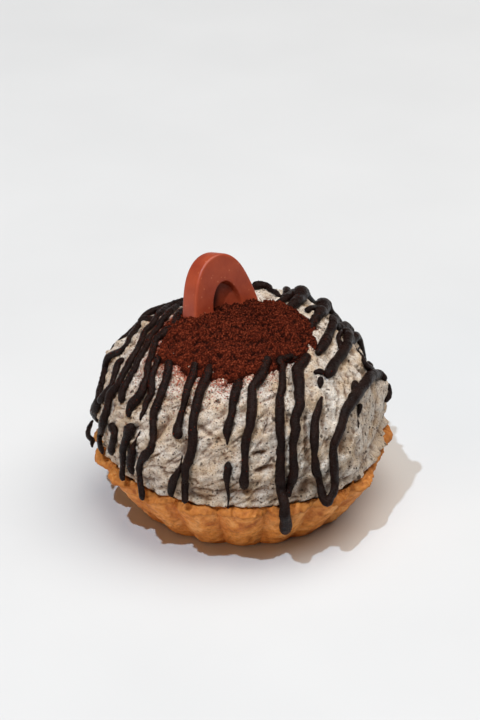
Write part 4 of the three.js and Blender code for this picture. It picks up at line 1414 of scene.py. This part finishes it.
@dataclass
class CocoaHeap:
    """Heap of cocoa on the crown, its loose clumps and what fell round it."""

    outline: tuple[float, ...] = (19.5, 16.3, 12.6, 12.4, 13.6, 18.0, 23.0, 25.5, 26.0, 25.0, 21.5, 21.5)
    ripples: tuple[tuple[float, int, float], ...] = ((0.5, 9, 0), (0.4, 14, 50))
    thickness: float = 2.4
    edge: float = 0.5
    fullness: float = 0.6
    dip: tuple[float, float, float, float] = (-0.8, 7.4, 7.0, 0.75)
    thinnest: float = 0.5
    sunk: float = 0.8
    columns: int = 600
    rows: int = 98
    edge_rows: int = 6
    sweep: float = 33.0
    drawn: float = 0.32
    ridges: Lines = Lines(0.8, 2.8, 1 / 2.6, 16, 2, 1)
    curls: Lines = Lines(0.42, 1.2, 1 / 3, 11, 3, 1)
    crumbs: Lines = Lines(0.12, 0.9, 1 / 3, 15, 2, 1)
    gaps: Lines = Lines(0.5, 3.0, 0.10, 13)
    hills: Layer = Layer(0.8, 6.5, 3, 12)
    grains: Layer = Layer(0.1, 0.5, 2, 14)
    frayed: Layer = Layer(0.7, 3.0, 4, 3)
    clumps: int = 7500
    clump_seed: int = 21
    dust: int = 5200
    dust_on_strands: int = 1300
    dust_seed: int = 31
    dust_tries: int = 16
    strand_tries: int = 30
    dusty_side: float = 205

    def radius(self, azimuth: np.ndarray) -> np.ndarray:
        """Radius of the heap's outline."""
        count = len(self.outline)
        place = (azimuth % 360) / 360 * count
        first = np.floor(place).astype(int) % count
        blend = 0.5 - 0.5 * np.cos(np.pi * (place - np.floor(place)))
        sizes = np.array(self.outline)
        radius = sizes[first] + (sizes[(first + 1) % count] - sizes[first]) * blend
        for height, times, phase in self.ripples:
            radius = radius + height * np.sin(np.radians(azimuth * times + phase))
        return radius + self.frayed.over(polar(20.0, azimuth, 0.0))

    def dusting(self, cream: WhippedCream, azimuth: np.ndarray, elevation: np.ndarray) -> np.ndarray:
        """How much cocoa lies on the cream round the heap, from 0 to 1."""
        places = cream.at(azimuth, elevation, cream.dome(elevation))
        beyond = np.hypot(places[..., 0], places[..., 1]) - self.radius(azimuth)
        side = 0.5 + 0.5 * np.cos(np.radians(azimuth - self.dusty_side))
        reach = 2.2 + 6.5 * side
        return (0.4 + 0.6 * side) * np.exp(-np.maximum(beyond, 0) / reach)

    def relief(self, places: np.ndarray) -> np.ndarray:
        """Height of clumps and grains over the smooth heap."""
        warped = places + 1.1 * wander(places, 2.6, 40)
        swept = self.swept(warped)
        rough = self.ridges.over(swept) + self.curls.over(swept) + self.crumbs.over(warped)
        rough -= self.gaps.over(warped)
        return rough + self.grains.over(places) + self.hills.over(places) - 0.3

    def swept(self, places: np.ndarray) -> np.ndarray:
        """Places drawn together along the way that the cocoa was sieved, so that patterns run that way."""
        turn = math.radians(self.sweep)
        along = places[..., 0] * math.cos(turn) + places[..., 1] * math.sin(turn)
        across = places[..., 1] * math.cos(turn) - places[..., 0] * math.sin(turn)
        return np.stack([self.drawn * along, across, places[..., 2]], -1)

    def depth(self, flat: np.ndarray, share: np.ndarray) -> np.ndarray:
        """Thickness of the heap, with its relief.

        Args:
            flat: places on the cream, in millimetres.
            share: share of the outline's radius at each place.

        Returns:
            Heights over the cream, in millimetres.
        """
        x, y, reach, most = self.dip
        beside = np.hypot(flat[..., 0] - x, flat[..., 1] - y) / reach
        left = 1 - most * np.exp(-beside ** 2)
        swell = self.edge + (self.thickness - self.edge) * np.clip(1 - share ** 2, 0, 1) ** self.fullness
        deep = left * swell * ramp(1.0, 0.965, share) + self.relief(flat) * ramp(1.0, 0.9, share)
        return np.maximum(deep, self.thinnest * ramp(1.0, 0.9, share))

    def heap_points(self, cream: WhippedCream, azimuth: np.ndarray, share: np.ndarray) -> np.ndarray:
        """Points on top of the heap.

        Args:
            cream: what the heap lies on.
            azimuth: one for each column.
            share: share of the outline's radius for each row.

        Returns:
            Rows by columns by 3, in millimetres.
        """
        radius = share[:, None] * self.radius(azimuth)[None]
        flat = polar(radius, azimuth, cream.height_over(azimuth, radius))
        flat[..., 2] += self.depth(flat, share[:, None])
        return flat

    def build_heap(self, cream: WhippedCream, finish: bpy.types.Material) -> bpy.types.Object:
        """Builds the heap."""
        azimuth = np.arange(self.columns) * 360 / self.columns
        share = np.append(np.linspace(0.02, 0.95, self.rows), np.linspace(0.958, 1, self.edge_rows))
        top = self.heap_points(cream, azimuth, share)
        low_share = np.array([0.3, 0.8, 1.0])
        radius = low_share[:, None] * self.radius(azimuth)[None] * 0.99
        below = polar(radius, azimuth, cream.height_over(azimuth, radius) - self.sunk)
        crown = top[0].mean(0)
        # painted shade: the hollow mark darkens the heap in its dips
        deep = np.concatenate([0 * radius, hollows(top[..., 2], 6, 0.26)[::-1]])
        return make_shell("cocoa_heap", np.concatenate([below, top[::-1]]),
                          [(0, 0, crown[2] - 4), crown], finish, Slot.COCOA, "cocoa", {"hollow": deep})

    def build_clumps(self, cream: WhippedCream, finish: bpy.types.Material) -> bpy.types.Object:
        """Builds the loose clumps on the heap."""
        draw = np.random.default_rng(self.clump_seed)
        azimuth = draw.uniform(0, 360, self.clumps)
        share = np.sqrt(draw.uniform(0, 1.06, self.clumps))
        radius = share * self.radius(azimuth)
        flat = polar(radius, azimuth, cream.height_over(azimuth, radius[None])[0])
        # painted shade: clumps that lie low in the relief are darkened
        deep = ramp(0.8, 0.0, self.relief(flat))
        flat[:, 2] += self.depth(flat, share) + 0.05
        sizes = 0.18 + 0.5 * draw.random(self.clumps) ** 3
        return make_crumbs("cocoa_clumps", flat, sizes, 0.35, self.clump_seed + 1, finish,
                           "cocoa", {"hollow": deep})

    def build_dust(self, cream: WhippedCream, strands: np.ndarray,
                   finish: bpy.types.Material) -> bpy.types.Object:
        """Builds the fine cocoa that fell on the cream and the strands round the heap.

        Args:
            cream: the cream that it lies on.
            strands: places on top of the chocolate strands, in millimetres.
            finish: its material.

        Returns:
            The piece.
        """
        draw = np.random.default_rng(self.dust_seed)
        tries = self.dust_tries * self.dust
        azimuth = draw.uniform(0, 360, tries)
        elevation = np.degrees(np.arcsin(draw.uniform(-0.1, 1.0, tries)))
        wanted = self.dusting(cream, azimuth, elevation)
        radius = np.hypot(*cream.at(azimuth, elevation, cream.dome(elevation))[:, :2].T)
        kept = (draw.random(tries) < wanted ** 1.6) & (radius > self.radius(azimuth) - 1)
        azimuth, elevation = azimuth[kept][:self.dust], elevation[kept][:self.dust]
        centres = cream.surface(azimuth, elevation)
        picked = strands[draw.integers(0, len(strands), self.strand_tries * self.dust_on_strands)]
        around = np.degrees(np.arctan2(picked[:, 1], picked[:, 0]))
        up = np.degrees(np.arctan2(picked[:, 2] - cream.equator, np.hypot(picked[:, 0], picked[:, 1])))
        near = draw.random(len(picked)) < 0.7 * self.dusting(cream, around, up) ** 1.2
        centres = np.concatenate([centres, picked[near][:self.dust_on_strands]])
        sizes = 0.12 + 0.32 * draw.random(len(centres)) ** 2.5
        return make_crumbs("cocoa_dust", centres, sizes, 0.3, self.dust_seed + 1, finish, "cocoa")


# Biscuit crumbs in the cream


@dataclass
class BiscuitCrumbs:
    """Crumbs of dark biscuit that stand out of the cream."""

    cream: WhippedCream
    count: int = 2600
    smallest: float = 0.22
    spread: float = 0.65
    sunk: float = 0.18
    sines: tuple[float, float] = (-0.11, 0.86)
    seed: int = 41

    def build(self, finish: bpy.types.Material) -> bpy.types.Object:
        """Builds the crumbs."""
        draw = np.random.default_rng(self.seed)
        azimuth = draw.uniform(0, 360, self.count)
        elevation = np.degrees(np.arcsin(draw.uniform(*self.sines, self.count)))
        centres = self.cream.surface(azimuth, elevation)
        sizes = self.smallest + self.spread * draw.random(self.count) ** 3
        centres += self.sunk * sizes[:, None] * unit((0, 0, self.cream.equator) - centres)
        return make_crumbs("biscuit_crumbs", centres, sizes, 0.4, self.seed + 1, finish, "cream")


# Oval chocolate


@dataclass
class OvalChocolate:
    """Oval chocolate with a blind hollow in its face."""

    half_width: float = 11.8
    half_height: float = 17.0
    thickness: float = 5.9
    edge_round: float = 0.75
    hollow_scale: float = 0.42
    hollow_depth: float = 2.4
    hollow_shift: tuple[float, float] = (0.45, 1.9)
    hollow_tilt: float = 0.5
    narrowing: float = 0.07
    brim: float = 0.45
    fillet: float = 0.6
    draft: float = 0.25
    centre: tuple[float, float, float] = (-4.4, 5.5, 53.4)
    turn: float = 42.0
    lean: float = 15.0
    waves: Layer = Layer(0.05, 5.0, 3, 51)
    end_shades: tuple[float, float] = (0.0, 0.3)
    columns: int = 220

    def rows(self) -> list[tuple[float, float, float, float]]:
        """Rows of the section, from the middle of the back round to the middle of the hollow.

        Returns:
            Height over the face, scale of the oval, inset and share of the hollow's shift.
        """
        back, floor, scale = -self.thickness, -self.hollow_depth, self.hollow_scale
        edge, brim, fillet = self.edge_round, self.brim, self.fillet
        turns = np.linspace(0, math.pi / 2, 7)
        arc = [(1 - math.cos(turn), 1 - math.sin(turn)) for turn in turns]
        rows = [(back, 0.5, 0.0, 0.0)]
        rows += [(back + edge * up, 1, edge * along, 0) for along, up in arc[::-1]]
        rows += [(back * share, 1, 0, 0) for share in (0.7, 0.5, 0.3)]
        rows += [(-edge * up, 1, edge * along, 0) for along, up in arc]
        rows += [(0, 1 + (scale - 1) * share, edge * (1 - share) - 1.2 * brim * share, share)
                 for share in (0.25, 0.5, 0.75, 0.95)]
        rows += [(-brim * along, scale, -brim * up, 1) for along, up in arc]
        rows += [(floor + fillet * up, scale, self.draft + fillet * along, 1) for along, up in arc]
        rows += [(floor, scale * share, 0, 1) for share in (0.5, 0.25)]
        return rows

    def build(self, finish: bpy.types.Material) -> bpy.types.Object:
        """Builds the chocolate, standing in the cream."""
        turn = np.arange(self.columns) * 2 * math.pi / self.columns
        rings = []
        shades = []
        for height, scale, inset, shift in self.rows():
            x = (scale * self.half_width - inset) * np.cos(turn)
            y = (scale * self.half_height - inset) * np.sin(turn)
            shades.append(0 * turn)
            if shift == 1 and height < -0.5 * self.brim:
                across = x / (self.hollow_scale * self.half_width)
                rise = y / (self.hollow_scale * self.half_height)
                shades[-1] = ramp(-0.1, -0.5, across - 0.3 * rise)
                if height < -self.brim:
                    height = height * (1 - self.hollow_tilt * across)
            up = np.clip(y / self.half_height, 0, 1)
            x = x * (1 - 4 * self.narrowing * up * (1 - up)) + shift * self.hollow_shift[0]
            rings.append(np.stack([x, y + shift * self.hollow_shift[1], height + 0 * turn], -1))
        ends = np.array([[0, 0, -self.thickness], [*self.hollow_shift, -self.hollow_depth]])
        stand = Euler((math.radians(90 - self.lean), 0, math.radians(self.turn))).to_matrix()
        placed = []
        for flat in (np.array(rings), ends):
            flat[..., 2] += self.waves.over(flat)
            placed.append(flat @ np.array(stand).T + np.array(self.centre))
        return make_shell("oval_piece", *placed, finish, Slot.CHOCOLATE, "oval_chocolate",
                          {"hollow": np.array(shades)}, self.end_shades)


# Table, lights and camera


@dataclass(frozen=True)
class Lamp:
    """One light: where it stands, its size across in millimetres, its power in watts and its colour."""

    name: str
    kind: str
    place: tuple[float, float, float]
    size: float
    power: float
    colour: str

    def build(self) -> None:
        """Makes the light and turns it to the pie."""
        light = bpy.data.lights.new(self.name, self.kind)
        light.energy = self.power
        light.color = linear(self.colour)[:3]
        if self.kind == "AREA":
            light.shape = "DISK"
            light.size = self.size * MM
        else:
            light.shadow_soft_size = 0.5 * self.size * MM
        lamp = add_object(self.name, light)
        lamp.location = np.array(self.place) * MM
        lamp.rotation_euler = lamp.location.to_track_quat("Z", "Y").to_euler()


@dataclass(frozen=True)
class Studio:
    """Pale table under a faint sky and three lights.

    The key is small and high at the front left, and gives the crisp shadow. The fill is wide and soft,
    above and to the right. The card is low and warm, at the front left.
    """

    lamps: tuple[Lamp, ...] = (
        Lamp("key", "POINT", (-663, -909, 2250), 56.0, 149.0, "#dff0ff"),
        Lamp("fill", "AREA", (500, 50, 2000), 2400.0, 52.0, "#fff4e8"),
        Lamp("card", "AREA", (-900, -900, 350), 700.0, 3.9, "#ffcf9b"),
    )
    sky: str = "#fffcf9"
    sky_strength: float = 0.08
    table_size: float = 8000

    def build(self) -> None:
        """Makes the table, the lights and the sky."""
        self._table()
        for lamp in self.lamps:
            lamp.build()
        world = bpy.data.worlds.new("sky")
        world.use_nodes = True
        background = world.node_tree.nodes["Background"]
        background.inputs["Color"].default_value = linear(self.sky)
        background.inputs["Strength"].default_value = self.sky_strength
        scene = bpy.context.scene
        scene.world = world
        scene.view_settings.view_transform = "Standard"
        scene.view_settings.look = "None"

    def _table(self) -> None:
        """Makes the table that the pie stands on."""
        half = 0.5 * self.table_size * MM
        corners = [(-half, -half, 0), (half, -half, 0), (half, half, 0), (-half, half, 0)]
        mesh = bpy.data.meshes.new("table")
        mesh.from_pydata(corners, [], [(0, 1, 2, 3)])
        mesh.materials.append(PaleTable().make())
        table = add_object("table", mesh)


def main() -> None:
    """Builds the pie piece by piece, then the table, the lights and the camera."""
    logging.basicConfig(level=logging.INFO, format="%(name)s: %(message)s")
    camera = PhotoCamera()
    camera.build()
    case = PastryCase()
    cream = WhippedCream()
    cocoa = CocoaHeap()
    powder = CocoaPowder().make()
    baked = BakedShortcrust().make()
    case.build(baked)
    PastryCrumbs(case).build(baked)
    cream.build(case, SpeckledCream().make(), cocoa)
    BiscuitCrumbs(cream).build(BiscuitCrumb().make())
    tops = PipedStrands(cream, case, camera).build(PipedChocolate().make())
    cocoa.build_heap(cream, powder)
    cocoa.build_clumps(cream, powder)
    cocoa.build_dust(cream, tops, CocoaPowder("fallen_cocoa", "#3c1209", "#5e200f", "#823313").make())
    OvalChocolate().build(MouldedChocolate().make())
    Studio().build()


if __name__ == "__main__":
    main()
